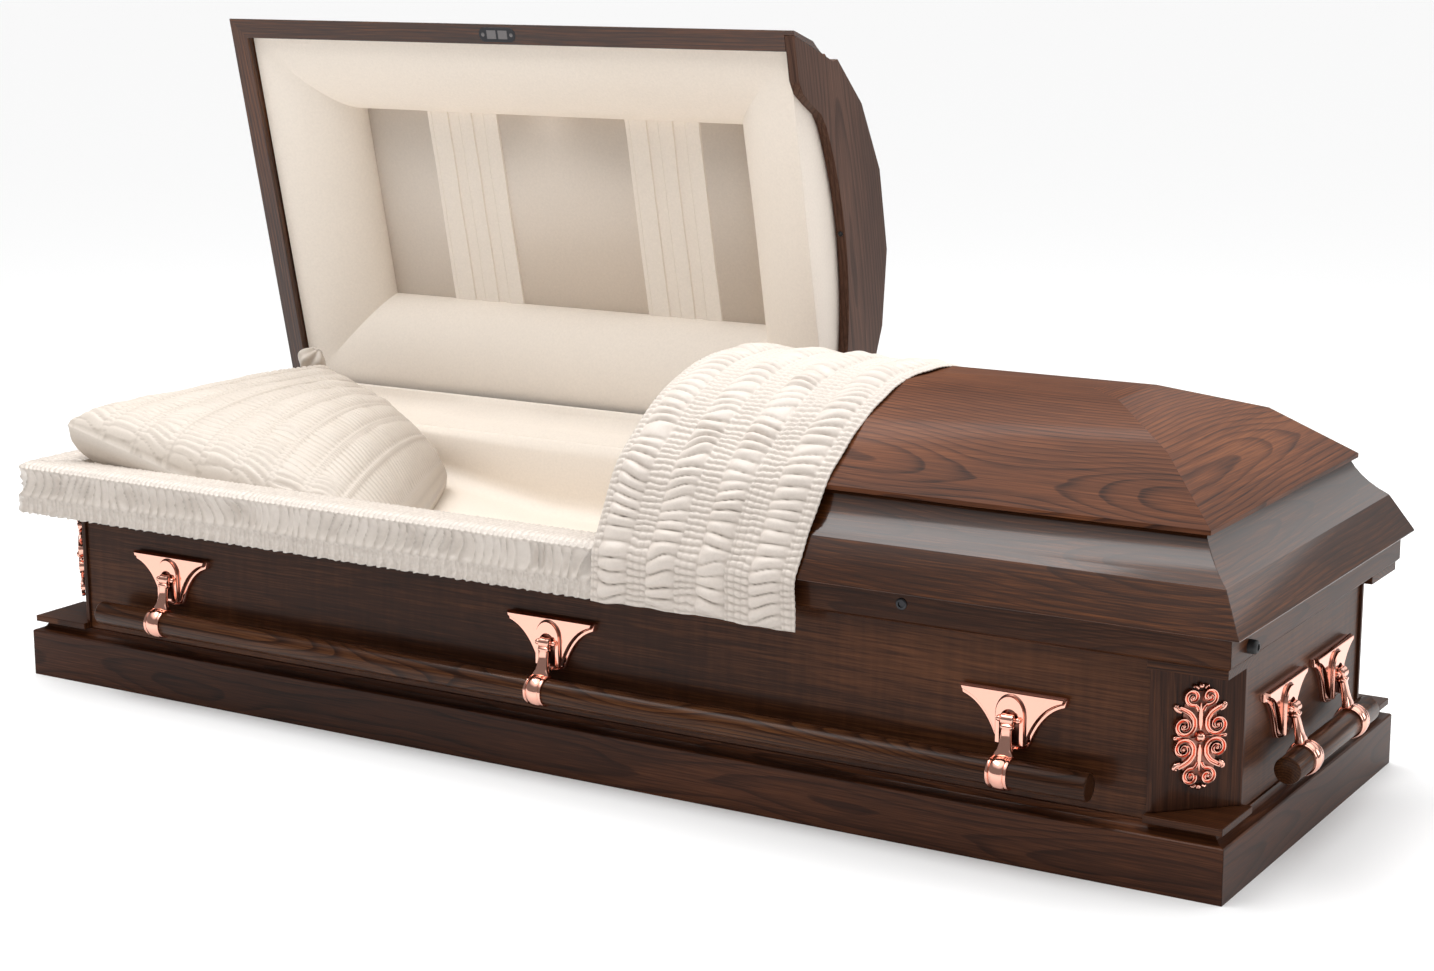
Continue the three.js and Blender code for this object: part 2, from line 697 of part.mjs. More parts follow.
// Padding of the head lid: bulging rolls round a flat sunk panel. At the split the cloth goes up
// behind the header board, where it shows through the arch.
const liningClear = LID_RAIL + CLOTH_GAP;
const liningFootX = SPLIT_X - LIDS_APART / 2 - HEADER_BOARD - CLOTH_GAP;
const liningHeadX = -lidHalfX + liningClear;
const liningHalfX = (liningFootX - liningHeadX) / 2;
const liningMidX = (liningFootX + liningHeadX) / 2;
const liningHalfY = lidHalfY - liningClear;
const rollSteps = () => {
  const steps = [];
  const count = 8;
  for (let i = 0; i <= count; i += 1) {
    const angle = i / count * Math.PI / 2;
    steps.push([
      2 + (LID_PUFF - 2) * Math.sin(angle),
      lidBottom + LID_LINING_SETBACK + (LID_RECESS_DEPTH - LID_LINING_SETBACK) * (1 - Math.cos(angle)),
    ]);
  }
  return steps;
};
const lidLining = () => {
  const back = [
    [0, lidBottom + LID_LINING_SETBACK],
    [0, lidBottom + LID_RAIL_FACE - 2],
    [LID_PUFF * 0.42, lidBottom + LID_RECESS_DEPTH - 12],
    [LID_PUFF * 0.8, lidBottom + LID_RECESS_DEPTH + LID_LINING_BACKING],
  ];
  const tray = cut(
    hip(back, liningHalfX, liningHalfY),
    hip([[2, lidBottom + LID_LINING_SETBACK - 1], ...rollSteps()], liningHalfX, liningHalfY),
  );
  const apronTop = LID_RECESS_DEPTH - 12;
  const apronHalfY = liningHalfY - LID_PUFF * 0.42;
  const apron = lengthwise([
    [-liningHalfY, lidBottom + LID_LINING_SETBACK],
    [liningHalfY, lidBottom + LID_LINING_SETBACK],
    [liningHalfY, lidBottom + LID_RAIL_FACE - 2],
    [apronHalfY, lidBottom + apronTop],
    [-apronHalfY, lidBottom + apronTop],
    [-liningHalfY, lidBottom + LID_RAIL_FACE - 2],
  ], liningHalfX - LID_LINING_BACKING, liningHalfX);
  const apronRoom = hip(
    [[2, lidBottom + LID_LINING_SETBACK - 1], ...rollSteps()],
    liningHalfX,
    liningHalfY,
  );
  return join(tray, cut(apron, apronRoom)).translate(liningMidX, 0, 0);
};
place(headLid, 'head_lid_lining', lidLining(), ivoryCloth);

// Interior lining: padded walls and a bed that rises to the head end
const bedZ = rimTop - LINING_DEPTH;
const liningOuter = [innerHalfX - CLOTH_GAP, innerHalfY - CLOTH_GAP];
const hollowX = liningOuter[0] - LINING_WALL;
const hollowY = liningOuter[1] - LINING_WALL;
const bedOutline = [
  [-hollowX, rimTop + 1],
  [-hollowX, bedZ + RAMP_RISE],
  [RAMP_START_X, bedZ],
  [hollowX, bedZ],
  [hollowX, rimTop + 1],
];
// A prism whose outline lies in X and Z and whose length runs across the casket
const crosswise = (points, halfWidth) => {
  const across = prism(points, 2 * halfWidth).rotateX(Math.PI / 2);
  return across.translate(0, halfWidth, 0);
};
const liningBlock = box(
  [-liningOuter[0], liningOuter[0]],
  [-liningOuter[1], liningOuter[1]],
  [bedZ - LINING_UNDER, rimTop - CLOTH_GAP],
);
const chamfer = postX + postY - POST_LEG - POST_BOARD * Math.SQRT2 - CLOTH_GAP * 2;
const cornerRoom = corners.map((corner) => {
  const outline = [
    [chamfer - liningOuter[1] - 1, liningOuter[1] + 1],
    [liningOuter[0] + 1, liningOuter[1] + 1],
    [liningOuter[0] + 1, chamfer - liningOuter[0] - 1],
  ].map(([x, y]) => [corner.sx * x, corner.sy * y]);
  return prism(outline, rimTop - bedZ + LINING_UNDER + 2).translate(0, 0, bedZ - LINING_UNDER - 1);
});
const bodyLining = cut(liningBlock, crosswise(bedOutline, hollowY), ...cornerRoom);
place(casket, 'body_lining', bodyLining, ivoryCloth);

// Pillow, a plump cushion that leans from the head end of the rim down on the rise of the bed. It
// lies a little turned, so its back corner at the foot is nearer the head.
const rampAt = (x) => (
  bedZ + RAMP_RISE * Math.max(0, RAMP_START_X - x) / (RAMP_START_X + hollowX)
);
const pillowHeadX = OVERLAY_IN + 4 - baseHalfX;
const overlayClear = rimTop + OVERLAY_THICK + 4;
const pillowLoop = ([across, fullness]) => {
  const y = across * PILLOW_HALF_WIDTH;
  const turned = (across + 1) / 2;
  const headX = pillowHeadX + PILLOW_HEAD_TURN * turned;
  const footX = PILLOW_FOOT_X - PILLOW_FOOT_TURN * turned;
  const loop = [[footX, rampAt(footX) + 3], [footX + PILLOW_OVERHANG / 2, rampAt(footX) + PILLOW_FOOT_EDGE]];
  const count = 6;
  for (let i = count - 1; i >= 0; i -= 1) {
    const down = i / count;
    const x = headX - PILLOW_OVERHANG + (footX - headX + PILLOW_OVERHANG) * down;
    const edge = THREE.MathUtils.lerp(rimTop + PILLOW_TOP, rampAt(footX) + PILLOW_FOOT_EDGE, down);
    loop.push([x, edge + PILLOW_PLUMP * fullness * Math.sqrt(Math.sin(Math.PI * down ** 1.6))]);
  }
  loop.push([headX - PILLOW_OVERHANG, overlayClear]);
  loop.push([headX, overlayClear - 2]);
  loop.push([headX, rampAt(headX) + 3]);
  return loop.map(([x, z]) => new THREE.Vector3(x, y, z));
};
const pillowStations = [[-1, 0.1], [-0.9, 0.6], [-0.6, 0.9], [0, 1], [0.6, 0.9], [0.9, 0.6], [1, 0.1]];
const pillow = facingOut(skin(pillowStations.map(pillowLoop), false));
place(casket, 'pillow', pillow, ivoryCloth);

// Overlay: a gathered cloth laid over the front rim and the head end, hanging down outside
const overlayTop = rimTop + CLOTH_GAP;
const overlaySection = [
  [4 - OVERLAY_OUT, rimTop - OVERLAY_DROP],
  [-OVERLAY_OUT, rimTop - OVERLAY_DROP + 16],
  [-OVERLAY_OUT, rimTop - 4],
  [-OVERLAY_OUT * 0.6, overlayTop + OVERLAY_THICK * 0.6],
  [0, overlayTop + OVERLAY_THICK],
  [OVERLAY_IN - 4, overlayTop + OVERLAY_THICK],
  [OVERLAY_IN, overlayTop + OVERLAY_THICK / 2],
  [OVERLAY_IN, overlayTop],
  [-CLOTH_GAP * 2, overlayTop],
  [-CLOTH_GAP * 2, rimTop - OVERLAY_DROP],
];
const overlay = cut(
  frame(overlaySection, baseHalfX, baseHalfY, OVERLAY_EASE),
  box([SPLIT_X - 1, FAR], [-FAR, FAR], [0, FAR]),
  box([-FAR, FAR], [OVERLAY_BACK_END, FAR], [0, FAR]),
);
place(casket, 'overlay', overlay, satinCloth);

// Throw: a gathered strip of cloth laid over the foot lid at the split
const throwLine = [
  [-lidHalfY - 1, rimTop - THROW_DROP],
  [-lidHalfY - 1, lidBottom + 2],
  [RIDGE_IN - lidHalfY, lidBottom + RIDGE_UP],
  [LIP_IN - lidHalfY, crownBottom + LIP],
  [CREASE_IN - lidHalfY, lidBottom + CREASE_UP],
  [TOP_IN - lidHalfY, lidBottom + TOP_UP],
  [lidHalfY - TOP_IN, lidBottom + TOP_UP],
  [lidHalfY - CREASE_IN, lidBottom + CREASE_UP],
  [lidHalfY - CREASE_IN + THROW_BACK_REACH, lidBottom + CREASE_UP - THROW_BACK_REACH * 0.72],
];
const stoodOff = (line, distance) => line.map(([y, z], i) => {
  const before = line[Math.max(i - 1, 0)];
  const after = line[Math.min(i + 1, line.length - 1)];
  const first = new THREE.Vector2(y - before[0], z - before[1]).normalize();
  const second = new THREE.Vector2(after[0] - y, after[1] - z).normalize();
  const along = first.add(second).normalize();
  const stretch = 1 / Math.max(Math.abs(along.dot(second.length() ? second : along)), 0.5);
  return [y - along.y * distance * stretch, z + along.x * distance * stretch];
});
const throwOutline = [
  ...stoodOff(throwLine, CLOTH_GAP),
  ...stoodOff(throwLine, CLOTH_GAP + THROW_THICK).reverse(),
];
const throwFromX = SPLIT_X + CLOTH_GAP;
place(footLid, 'throw', lengthwise(throwOutline, throwFromX, throwFromX + THROW_WIDTH), satinCloth);

export default casket;
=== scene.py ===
from itertools import product
from math import atan2, copysign, cos, hypot, pi, radians, sin

import bmesh
import bpy
import numpy as np
from mathutils import Matrix, Quaternion, Vector


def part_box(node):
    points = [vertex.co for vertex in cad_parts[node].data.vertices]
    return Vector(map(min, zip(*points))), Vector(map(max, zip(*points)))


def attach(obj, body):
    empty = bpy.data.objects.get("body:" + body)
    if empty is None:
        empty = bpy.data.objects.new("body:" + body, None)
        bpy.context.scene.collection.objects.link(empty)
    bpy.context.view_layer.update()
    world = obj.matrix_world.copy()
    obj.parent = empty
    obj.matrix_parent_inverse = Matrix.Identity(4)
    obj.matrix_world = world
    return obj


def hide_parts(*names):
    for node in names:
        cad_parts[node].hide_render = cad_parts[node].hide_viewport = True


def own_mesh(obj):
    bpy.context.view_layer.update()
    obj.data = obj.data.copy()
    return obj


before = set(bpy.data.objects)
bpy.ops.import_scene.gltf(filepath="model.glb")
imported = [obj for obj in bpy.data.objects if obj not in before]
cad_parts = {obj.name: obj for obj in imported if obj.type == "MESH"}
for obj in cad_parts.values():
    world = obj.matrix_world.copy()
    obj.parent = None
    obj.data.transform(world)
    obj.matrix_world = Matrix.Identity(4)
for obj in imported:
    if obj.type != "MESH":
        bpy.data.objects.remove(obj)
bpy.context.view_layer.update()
scene = bpy.context.scene
scene.view_settings.view_transform = "Standard"

# Camera, floor and studio light.
# A long lens a little above the lid's height looks from the foot end across the front. The floor is
# white paper, and soft boxes hang above, behind and beyond the foot end.
camera = bpy.data.objects.new("camera", bpy.data.cameras.new("camera"))
scene.collection.objects.link(camera)
camera.data.sensor_width = 36
camera.data.lens = 66.374
camera.data.clip_end = 60
aim = Vector((-0.5094, 0.8353, -0.2070)).to_track_quat("-Z", "Y")
camera.location = (2.1691, -3.4211, 1.2316)
camera.rotation_euler = (aim @ Quaternion((0, 0, 1), radians(-0.116))).to_euler()
scene.camera = camera


def add_node(tree, kind, inputs=None, **settings):
    """A shader node with its settings, and its inputs either linked to a socket or set to a number."""
    made = tree.nodes.new(kind)
    for key, value in settings.items():
        setattr(made, key, value)
    for key, value in (inputs or {}).items():
        if isinstance(value, bpy.types.NodeSocket):
            tree.links.new(value, made.inputs[key])
        else:
            made.inputs[key].default_value = value
    return made


def new_material(name):
    material = bpy.data.materials.new(name)
    material.use_nodes = True
    return material, material.node_tree, material.node_tree.nodes["Principled BSDF"]


def softbox(name, location, target, width, height, power):
    light = bpy.data.lights.new(name, "AREA")
    light.shape = "RECTANGLE"
    light.size = width
    light.size_y = height
    light.energy = power
    lamp = bpy.data.objects.new(name, light)
    lamp.location = location
    lamp.rotation_euler = (Vector(target) - Vector(location)).to_track_quat("-Z", "Y").to_euler()
    scene.collection.objects.link(lamp)


floor_shape = bmesh.new()
bmesh.ops.create_grid(floor_shape, x_segments=1, y_segments=1, size=60)
floor_mesh = bpy.data.meshes.new("studio_floor")
floor_shape.to_mesh(floor_mesh)
floor_shape.free()
studio_floor = bpy.data.objects.new("studio_floor", floor_mesh)
scene.collection.objects.link(studio_floor)
studio_paper, tree, shader = new_material("studio_paper")
shader.inputs["Base Color"].default_value = (0.93, 0.93, 0.93, 1)
shader.inputs["Roughness"].default_value = 0.7
shader.inputs["Specular IOR Level"].default_value = 0.1
floor_mesh.materials.append(studio_paper)

world = bpy.data.worlds.new("studio")
world.use_nodes = True
tree = world.node_tree
sky_place = add_node(tree, "ShaderNodeTexCoord").outputs["Generated"]
heading = add_node(tree, "ShaderNodeSeparateXYZ", {0: sky_place})
sky = add_node(tree, "ShaderNodeValToRGB", {0: heading.outputs["Z"]})
sky.color_ramp.elements[0].position = 0.56
sky.color_ramp.elements[0].color = (0.14, 0.14, 0.14, 1)
sky.color_ramp.elements[1].position = 0.84
sky.color_ramp.elements[1].color = (1, 1, 1, 1)
tree.links.new(sky.outputs[0], tree.nodes["Background"].inputs["Color"])
tree.nodes["Background"].inputs["Strength"].default_value = 1.85
scene.world = world
softbox("key_light", (-1.0, -1.2, 3.6), (-0.1, 0, 0.4), 3.0, 1.2, 46)
softbox("strip_light", (-0.7, 0.8, 2.9), (-0.2, 0.1, 0.4), 4.0, 0.35, 46)
softbox("back_light", (1.2, 3.4, 1.7), (0.6, 0, 0.4), 3.5, 1.4, 14)
softbox("end_light", (3.4, 1.4, 1.2), (1.0, 0, 0.3), 1.6, 1.2, 20)

# Wooden body.
# Solid walnut, stained dark and lacquered: base moulding, panels, posts with their blocks, and
# the plain rim, all glued together. The frames are mitred, so the grain turns with each length.
LID_HALF_X, LID_HALF_Y = 1.067, 0.364
BASE_HALF_X, BASE_HALF_Y = 1.052, 0.349
HINGE_Y, HINGE_Z = 0.3678, 0.3555
LID_BOTTOM = 0.356
OPEN_ANGLE = radians(78)
hinge_point = Vector((0, HINGE_Y, HINGE_Z))
lid_open = (
    Matrix.Translation(hinge_point)
    @ Matrix.Rotation(-OPEN_ANGLE, 4, "X")
    @ Matrix.Translation(-hinge_point)
)


def wood(name, dark, mid, light, along="X", mitre=None, centre=(0, 0), ring=0.016, opened=False,
         figure=0.0, gloss=0.34, rings=0.3, coat=0.1):
    """Lacquered walnut. Rings are cut at a slant, so a wide face shows long arches in the grain."""
    material, tree, shader = new_material(name)
    place = add_node(tree, "ShaderNodeTexCoord").outputs["Object"]
    if opened:
        back = lid_open.inverted()
        turned = add_node(tree, "ShaderNodeMapping", {"Vector": place})
        turned.inputs["Location"].default_value = back.to_translation()
        turned.inputs["Rotation"].default_value = back.to_euler()
        place = turned.outputs[0]
    axes = add_node(tree, "ShaderNodeSeparateXYZ", {"Vector": place})
    x, y, z = axes.outputs

    def calc(operation, a, b=0.0, c=0.0):
        done = add_node(tree, "ShaderNodeMath", {0: a, 1: b, 2: c}, operation=operation)
        return done.outputs[0]

    if mitre:
        in_x = calc("SUBTRACT", mitre[0], calc("ABSOLUTE", x))
        in_y = calc("SUBTRACT", mitre[1], calc("ABSOLUTE", y))
        at_end = calc("LESS_THAN", in_x, in_y)
        swap = add_node(tree, "ShaderNodeMix", {"Factor": at_end, 2: x, 3: y}, data_type="FLOAT")
        grain = calc("ADD", swap.outputs[0], calc("MULTIPLY", at_end, 3.7))
        across = calc("MINIMUM", in_x, in_y)
        depth = z
    elif along == "Z":
        grain, across, depth = z, calc("ABSOLUTE", x), calc("ABSOLUTE", y)
    elif along == "Y":
        grain, across, depth = y, calc("ABSOLUTE", x), z
    else:
        grain, across, depth = x, calc("ABSOLUTE", y), z

    def noise(grain_scale, cross_scale, detail=2.0, rough=0.5, seed=0.0):
        point = add_node(tree, "ShaderNodeCombineXYZ", {
            0: calc("MULTIPLY_ADD", grain, grain_scale, seed),
            1: calc("MULTIPLY", across, cross_scale),
            2: calc("MULTIPLY", depth, cross_scale),
        })
        made = add_node(tree, "ShaderNodeTexNoise", {
            "Vector": point.outputs[0], "Scale": 1.0, "Detail": detail, "Roughness": rough,
        })
        return made.outputs[0]

    sway = calc("MULTIPLY_ADD", noise(1.7, 0.7, 1.0), 0.06, -0.03)
    sway_two = calc("MULTIPLY_ADD", noise(2.0, 0.7, 1.0, seed=7.0), 0.08, -0.04)
    off_a = calc("ADD", calc("SUBTRACT", across, centre[0]), sway)
    off_b = calc("ADD", calc("SUBTRACT", depth, centre[1]), sway_two)
    radius = calc("SQRT", calc("ADD", calc("MULTIPLY", off_a, off_a), calc("MULTIPLY", off_b, off_b)))
    wobble = calc("MULTIPLY_ADD", noise(5.0, 30.0, 2.0), 0.9, -0.45)
    turns = calc("ADD", calc("DIVIDE", radius, ring), wobble)
    part = calc("FRACT", turns)
    late = calc("MULTIPLY", calc("POWER", part, 5.0), calc("SUBTRACT", 1.0, calc("POWER", part, 16.0)))
    streak = noise(9.0, 420.0, 3.0, 0.6)
    pores = noise(26.0, 1500.0, 2.0, 0.6, seed=3.0)
    blotch = noise(1.1, 5.0, 3.0, seed=11.0)
    tone = calc("MULTIPLY_ADD", late, -2.1 * rings, 0.54)
    tone = calc("ADD", tone, calc("MULTIPLY_ADD", streak, 0.8, -0.4))
    tone = calc("ADD", tone, calc("MULTIPLY_ADD", blotch, 0.7, -0.35))
    tone = calc("ADD", tone, calc("MULTIPLY_ADD", pores, 0.3, -0.15))
    if figure:
        curl = noise(75.0, 9.0, 2.0, seed=5.0)
        tone = calc("ADD", tone, calc("MULTIPLY_ADD", curl, figure, -figure / 2))
    ramp = add_node(tree, "ShaderNodeValToRGB", {0: tone})
    ramp.color_ramp.elements[0].position = 0.12
    ramp.color_ramp.elements[0].color = (*dark, 1)
    ramp.color_ramp.elements[1].position = 0.88
    ramp.color_ramp.elements[1].color = (*light, 1)
    ramp.color_ramp.elements.new(0.5).color = (*mid, 1)
    tree.links.new(ramp.outputs[0], shader.inputs["Base Color"])
    rough = calc("MULTIPLY_ADD", streak, 0.14, gloss)
    tree.links.new(rough, shader.inputs["Roughness"])
    shader.inputs["Coat Weight"].default_value = coat
    shader.inputs["Coat Roughness"].default_value = 0.13
    shader.inputs["Specular IOR Level"].default_value = 0.1
    bump = add_node(tree, "ShaderNodeBump", {"Height": streak, "Strength": 0.06, "Distance": 0.001})
    tree.links.new(bump.outputs[0], shader.inputs["Normal"])
    return material


def dress(nodes, material, bevel=0.0012):
    """CAD pieces keep their own shape, and get a finish and softened edges."""
    for name in nodes:
        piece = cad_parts[name]
        mesh = piece.data
        mesh.materials.clear()
        mesh.materials.append(material)
        if "custom_normal" in mesh.attributes:
            mesh.attributes.remove(mesh.attributes["custom_normal"])
        mesh.polygons.foreach_set("use_smooth", [True] * len(mesh.polygons))
        weld = piece.modifiers.new("weld", "WELD")
        weld.merge_threshold = 0.00002
        edge = piece.modifiers.new("edge", "BEVEL")
        edge.width = bevel
        edge.segments = 2
        edge.limit_method = "ANGLE"
        edge.angle_limit = radians(30)
        even = piece.modifiers.new("even", "WEIGHTED_NORMAL")
        even.keep_sharp = False


BODY_DARK, BODY_MID, BODY_LIGHT = (0.009, 0.0028, 0.0012), (0.038, 0.012, 0.0045), (0.125, 0.044, 0.016)
base_wood = wood("base_walnut", BODY_DARK, (0.042, 0.013, 0.005), (0.120, 0.040, 0.015),
                 mitre=(BASE_HALF_X, BASE_HALF_Y), centre=(0.055, 0.035), ring=0.006, rings=0.2)
dress(["base_moulding", "bottom_board"], base_wood, 0.0016)
rim_wood = wood("rim_walnut", BODY_DARK, BODY_MID, BODY_LIGHT,
                mitre=(BASE_HALF_X, BASE_HALF_Y), centre=(0.05, 0.32), ring=0.006, rings=0.15)
dress(["top_moulding"], rim_wood, 0.0014)
panel_wood = wood("panel_walnut", BODY_DARK, BODY_MID, BODY_LIGHT, centre=(0.27, 0.2), ring=0.009,
                  figure=0.22, rings=0.07)
dress(["front_panel", "back_panel"], panel_wood, 0.0008)
end_wood = wood("end_panel_walnut", BODY_DARK, BODY_MID, BODY_LIGHT, along="Y", centre=(0.97, 0.2),
                ring=0.009, figure=0.22, rings=0.07)
dress(["head_panel", "foot_panel"], end_wood, 0.0008)
post_wood = wood("post_walnut", (0.012, 0.0045, 0.0025), (0.045, 0.016, 0.008), (0.13, 0.045, 0.018),
                 along="Z", centre=(0.95, 0.25), ring=0.010, rings=0.16)
CORNERS = ("front_foot", "front_head", "back_foot", "back_head")
dress([f"{corner}_post" for corner in CORNERS], post_wood, 0.001)
block_wood = wood("block_walnut", BODY_DARK, BODY_MID, BODY_LIGHT, centre=(0.2, 0.1), ring=0.006)
for level in ("foot", "top"):
    dress([f"{corner}_{level}_block" for corner in CORNERS], block_wood)

# Lids.
# Two lids of the same walnut, hung on the back rim: a tall coved moulding, a faceted crown of
# reddish boards glued on it, and an arched header board across each lid where they meet.
TIER = ((0.009, 0.0025, 0.0006), (0.041, 0.0115, 0.0028), (0.165, 0.050, 0.0110))
CROWN = ((0.022, 0.0062, 0.0022), (0.118, 0.037, 0.0135), (0.265, 0.094, 0.036))
HEADER = ((0.025, 0.010, 0.006), (0.075, 0.034, 0.021), (0.160, 0.078, 0.050))
for lid, opened in (("head", True), ("foot", False)):
    tier_wood = wood(f"{lid}_tier_walnut", *TIER, mitre=(LID_HALF_X, LID_HALF_Y), centre=(0.10, 0.40),
                     ring=0.006, opened=opened, gloss=0.26, rings=0.16, coat=0.8)
    dress([f"{lid}_lid_moulding"], tier_wood, 0.0014)
    crown_wood = wood(f"{lid}_crown_walnut", *CROWN, mitre=(LID_HALF_X, LID_HALF_Y), centre=(0.154, 0.466),
                      ring=0.006, opened=opened, gloss=0.42, rings=0.24, coat=0.06)
    dress([f"{lid}_lid_crown"], crown_wood, 0.0012)
    header_wood = wood(f"{lid}_header_walnut", *HEADER, along="Y", centre=(0.14, 0.46), ring=0.007,
                       opened=opened, gloss=0.3, rings=0.25)
    dress([f"{lid}_lid_header"], header_wood, 0.001)

# Hinges and small fittings.
# Long dull steel hinges screwed along the back, a latch plate let into the head lid's front rail,
# a screw in its header, a key socket in the front rim and a rubber buffer at the foot end.


def metal(name, colour, rough, scratch=0.05):
    material, tree, shader = new_material(name)
    shader.inputs["Base Color"].default_value = (*colour, 1)
    shader.inputs["Metallic"].default_value = 1
    place = add_node(tree, "ShaderNodeTexCoord").outputs["Object"]
    wear = add_node(tree, "ShaderNodeTexNoise", {"Vector": place, "Scale": 90.0, "Detail": 3.0})
    patch = add_node(tree, "ShaderNodeMath", {0: wear.outputs[0], 1: scratch, 2: rough},
                     operation="MULTIPLY_ADD")
    tree.links.new(patch.outputs[0], shader.inputs["Roughness"])
    bump = add_node(tree, "ShaderNodeBump", {"Height": wear.outputs[0], "Strength": 0.04, "Distance": 0.0005})
    tree.links.new(bump.outputs[0], shader.inputs["Normal"])
    return material


def finish(name, shape, material, body, replaced=(), sharp=None):
    """Makes a piece of a shape, placed in its mesh, on one of the moving bodies."""
    mesh = bpy.data.meshes.new(name)
    shape.to_mesh(mesh)
    shape.free()
    mesh.materials.append(material)
    mesh.polygons.foreach_set("use_smooth", [True] * len(mesh.polygons))
    if sharp is not None:
        mesh.set_sharp_from_angle(angle=radians(sharp))
    piece = bpy.data.objects.new(name, mesh)
    scene.collection.objects.link(piece)
    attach(piece, body)
    if replaced:
        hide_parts(*replaced)
    return piece


def close_ends(part):
    bmesh.ops.holes_fill(part, edges=[edge for edge in part.edges if edge.is_boundary], sides=0)


def join(shape, part, matrix=None):
    """Puts a closed part, made on its own at the origin, in its place in a shape."""
    if matrix is not None:
        bmesh.ops.transform(part, matrix=matrix, verts=part.verts)
    bmesh.ops.recalc_face_normals(part, faces=part.faces)
    holder = bpy.data.meshes.new("part")
    part.to_mesh(holder)
    part.free()
    shape.from_mesh(holder)
    bpy.data.meshes.remove(holder)


def turn(shape, profile, sides, matrix=None, ring=False):
    """Spins (radius, height) pairs round Z. A ring's section is closed, any other gets flat ends."""
    part = bmesh.new()
    points = [part.verts.new((radius, 0, height)) for radius, height in profile]
    edges = [part.edges.new(pair) for pair in zip(points, points[1:])]
    if ring:
        edges.append(part.edges.new((points[-1], points[0])))
    bmesh.ops.spin(part, geom=points + edges, axis=(0, 0, 1), cent=(0, 0, 0), angle=2 * pi, steps=sides,
                   use_merge=True)
    if not ring:
        close_ends(part)
    join(shape, part, matrix)


def press(shape, outline, layers, matrix=None):
    """An upright plate of an outline, listed anticlockwise. Each layer is (height, inset)."""
    part = bmesh.new()
    top = part.faces.new([part.verts.new((x, y, layers[0][0])) for x, y in outline])
    for (low, outer), (high, inner) in zip(layers, layers[1:]):
        part.normal_update()
        bmesh.ops.inset_region(part, faces=[top], thickness=inner - outer, use_boundary=True,
                               use_even_offset=True)
        bmesh.ops.translate(part, verts=top.verts, vec=(0, 0, high - low))
    close_ends(part)
    join(shape, part, matrix)


def loft(shape, loops, matrix=None, ring=False):
    """Extrudes a closed loop of points to the next one in turn. A ring ends where it began."""
    part = bmesh.new()
    here = [part.verts.new(point) for point in loops[0]]
    edges = [part.edges.new(pair) for pair in zip(here, here[1:] + here[:1])]
    for loop in [*loops[1:], loops[0]] if ring else loops[1:]:
        grown = set(bmesh.ops.extrude_edge_only(part, edges=edges)["geom"])
        there = []
        for vert, point in zip(here, loop):
            there.append(next(e.other_vert(vert) for e in vert.link_edges if e.other_vert(vert) in grown))
            there[-1].co = point
        here = there
        edges = [part.edges.get(pair) for pair in zip(here, here[1:] + here[:1])]
    if ring:
        bmesh.ops.remove_doubles(part, verts=part.verts, dist=1e-6)
    else:
        close_ends(part)
    join(shape, part, matrix)


def rounded(profile_radius, height, ease=0.001):
    """The profile of a turned button whose upper arris is eased."""
    return [
        (profile_radius, 0),
        (profile_radius, height - ease),
        (profile_radius - ease * 0.3, height - ease * 0.3),
        (profile_radius - ease, height),
        (profile_radius * 0.3, height),
    ]


hinge_steel = metal("hinge_steel", (0.20, 0.18, 0.16), 0.38)
dark_metal = metal("latch_metal", (0.045, 0.045, 0.048), 0.36)
dress(["head_lid_hinge_strip", "foot_lid_hinge_strip"], hinge_steel, 0.0004)
for lid, place in (("head", lid_open), ("foot", Matrix.Identity(4))):
    low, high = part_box(f"{lid}_lid_hinge_strip")
    leaf = bmesh.new()
    near, far = LID_HALF_Y - 0.030, LID_HALF_Y + 0.0008
    left, right = low.x + 0.001, high.x - 0.001
    press(leaf, [(left, near), (right, near), (right, far), (left, far)],
          [(LID_BOTTOM - 0.0004, 0), (LID_BOTTOM + 0.0004, 0)], place)
    finish(f"{lid}_hinge_leaf", leaf, hinge_steel, f"{lid}_lid")
    screws = bmesh.new()
    for i in range(9):
        x = low.x + 0.04 + (high.x - low.x - 0.08) * i / 8
        head = Matrix.Translation((x, high.y - 0.0168, HINGE_Z - 0.019)) @ Matrix.Rotation(-pi / 2, 4, "X")
        turn(screws, [(0.0034, -0.001), (0.0034, 0.0004), (0.0024, 0.0012), (0.0006, 0.0014)], 14, head)
    finish(f"{lid}_hinge_screws", screws, dark_metal, "casket")

LATCH_X, LATCH_Y = -0.481, -0.3465
LATCH_HALF, LATCH_END = 0.0375, 0.01225
latch_outline = []
for side, first in ((1, -pi / 2), (-1, pi / 2)):
    for i in range(9):
        a = first + pi * i / 8
        latch_outline.append((side * (LATCH_HALF - LATCH_END) + LATCH_END * cos(a), LATCH_END * sin(a)))
face_down = lid_open @ Matrix.Translation((LATCH_X, LATCH_Y, LID_BOTTOM)) @ Matrix.Rotation(pi, 4, "X")
latch = bmesh.new()
press(latch, latch_outline, [(-0.0008, 0), (0.0002, 0), (0.0005, 0.0003)], face_down)
finish("latch_plate", latch, dark_metal, "head_lid", sharp=40)
socket_metal = metal("fitting_metal", (0.16, 0.15, 0.15), 0.3)
wells = bmesh.new()
for shift in (-0.0115, 0.0115):
    left, right, half = shift - 0.0095, shift + 0.0095, 0.0075
    press(wells, [(left, -half), (right, -half), (right, half), (left, half)],
          [(0.0003, 0), (0.0008, 0.0003)], face_down)
for shift in (-0.029, 0.029):
    turn(wells, rounded(0.0036, 0.0006, 0.0003), 16, face_down @ Matrix.Translation((shift, 0, 0.0002)))
finish("latch_wells_and_screws", wells, socket_metal, "head_lid", sharp=40)

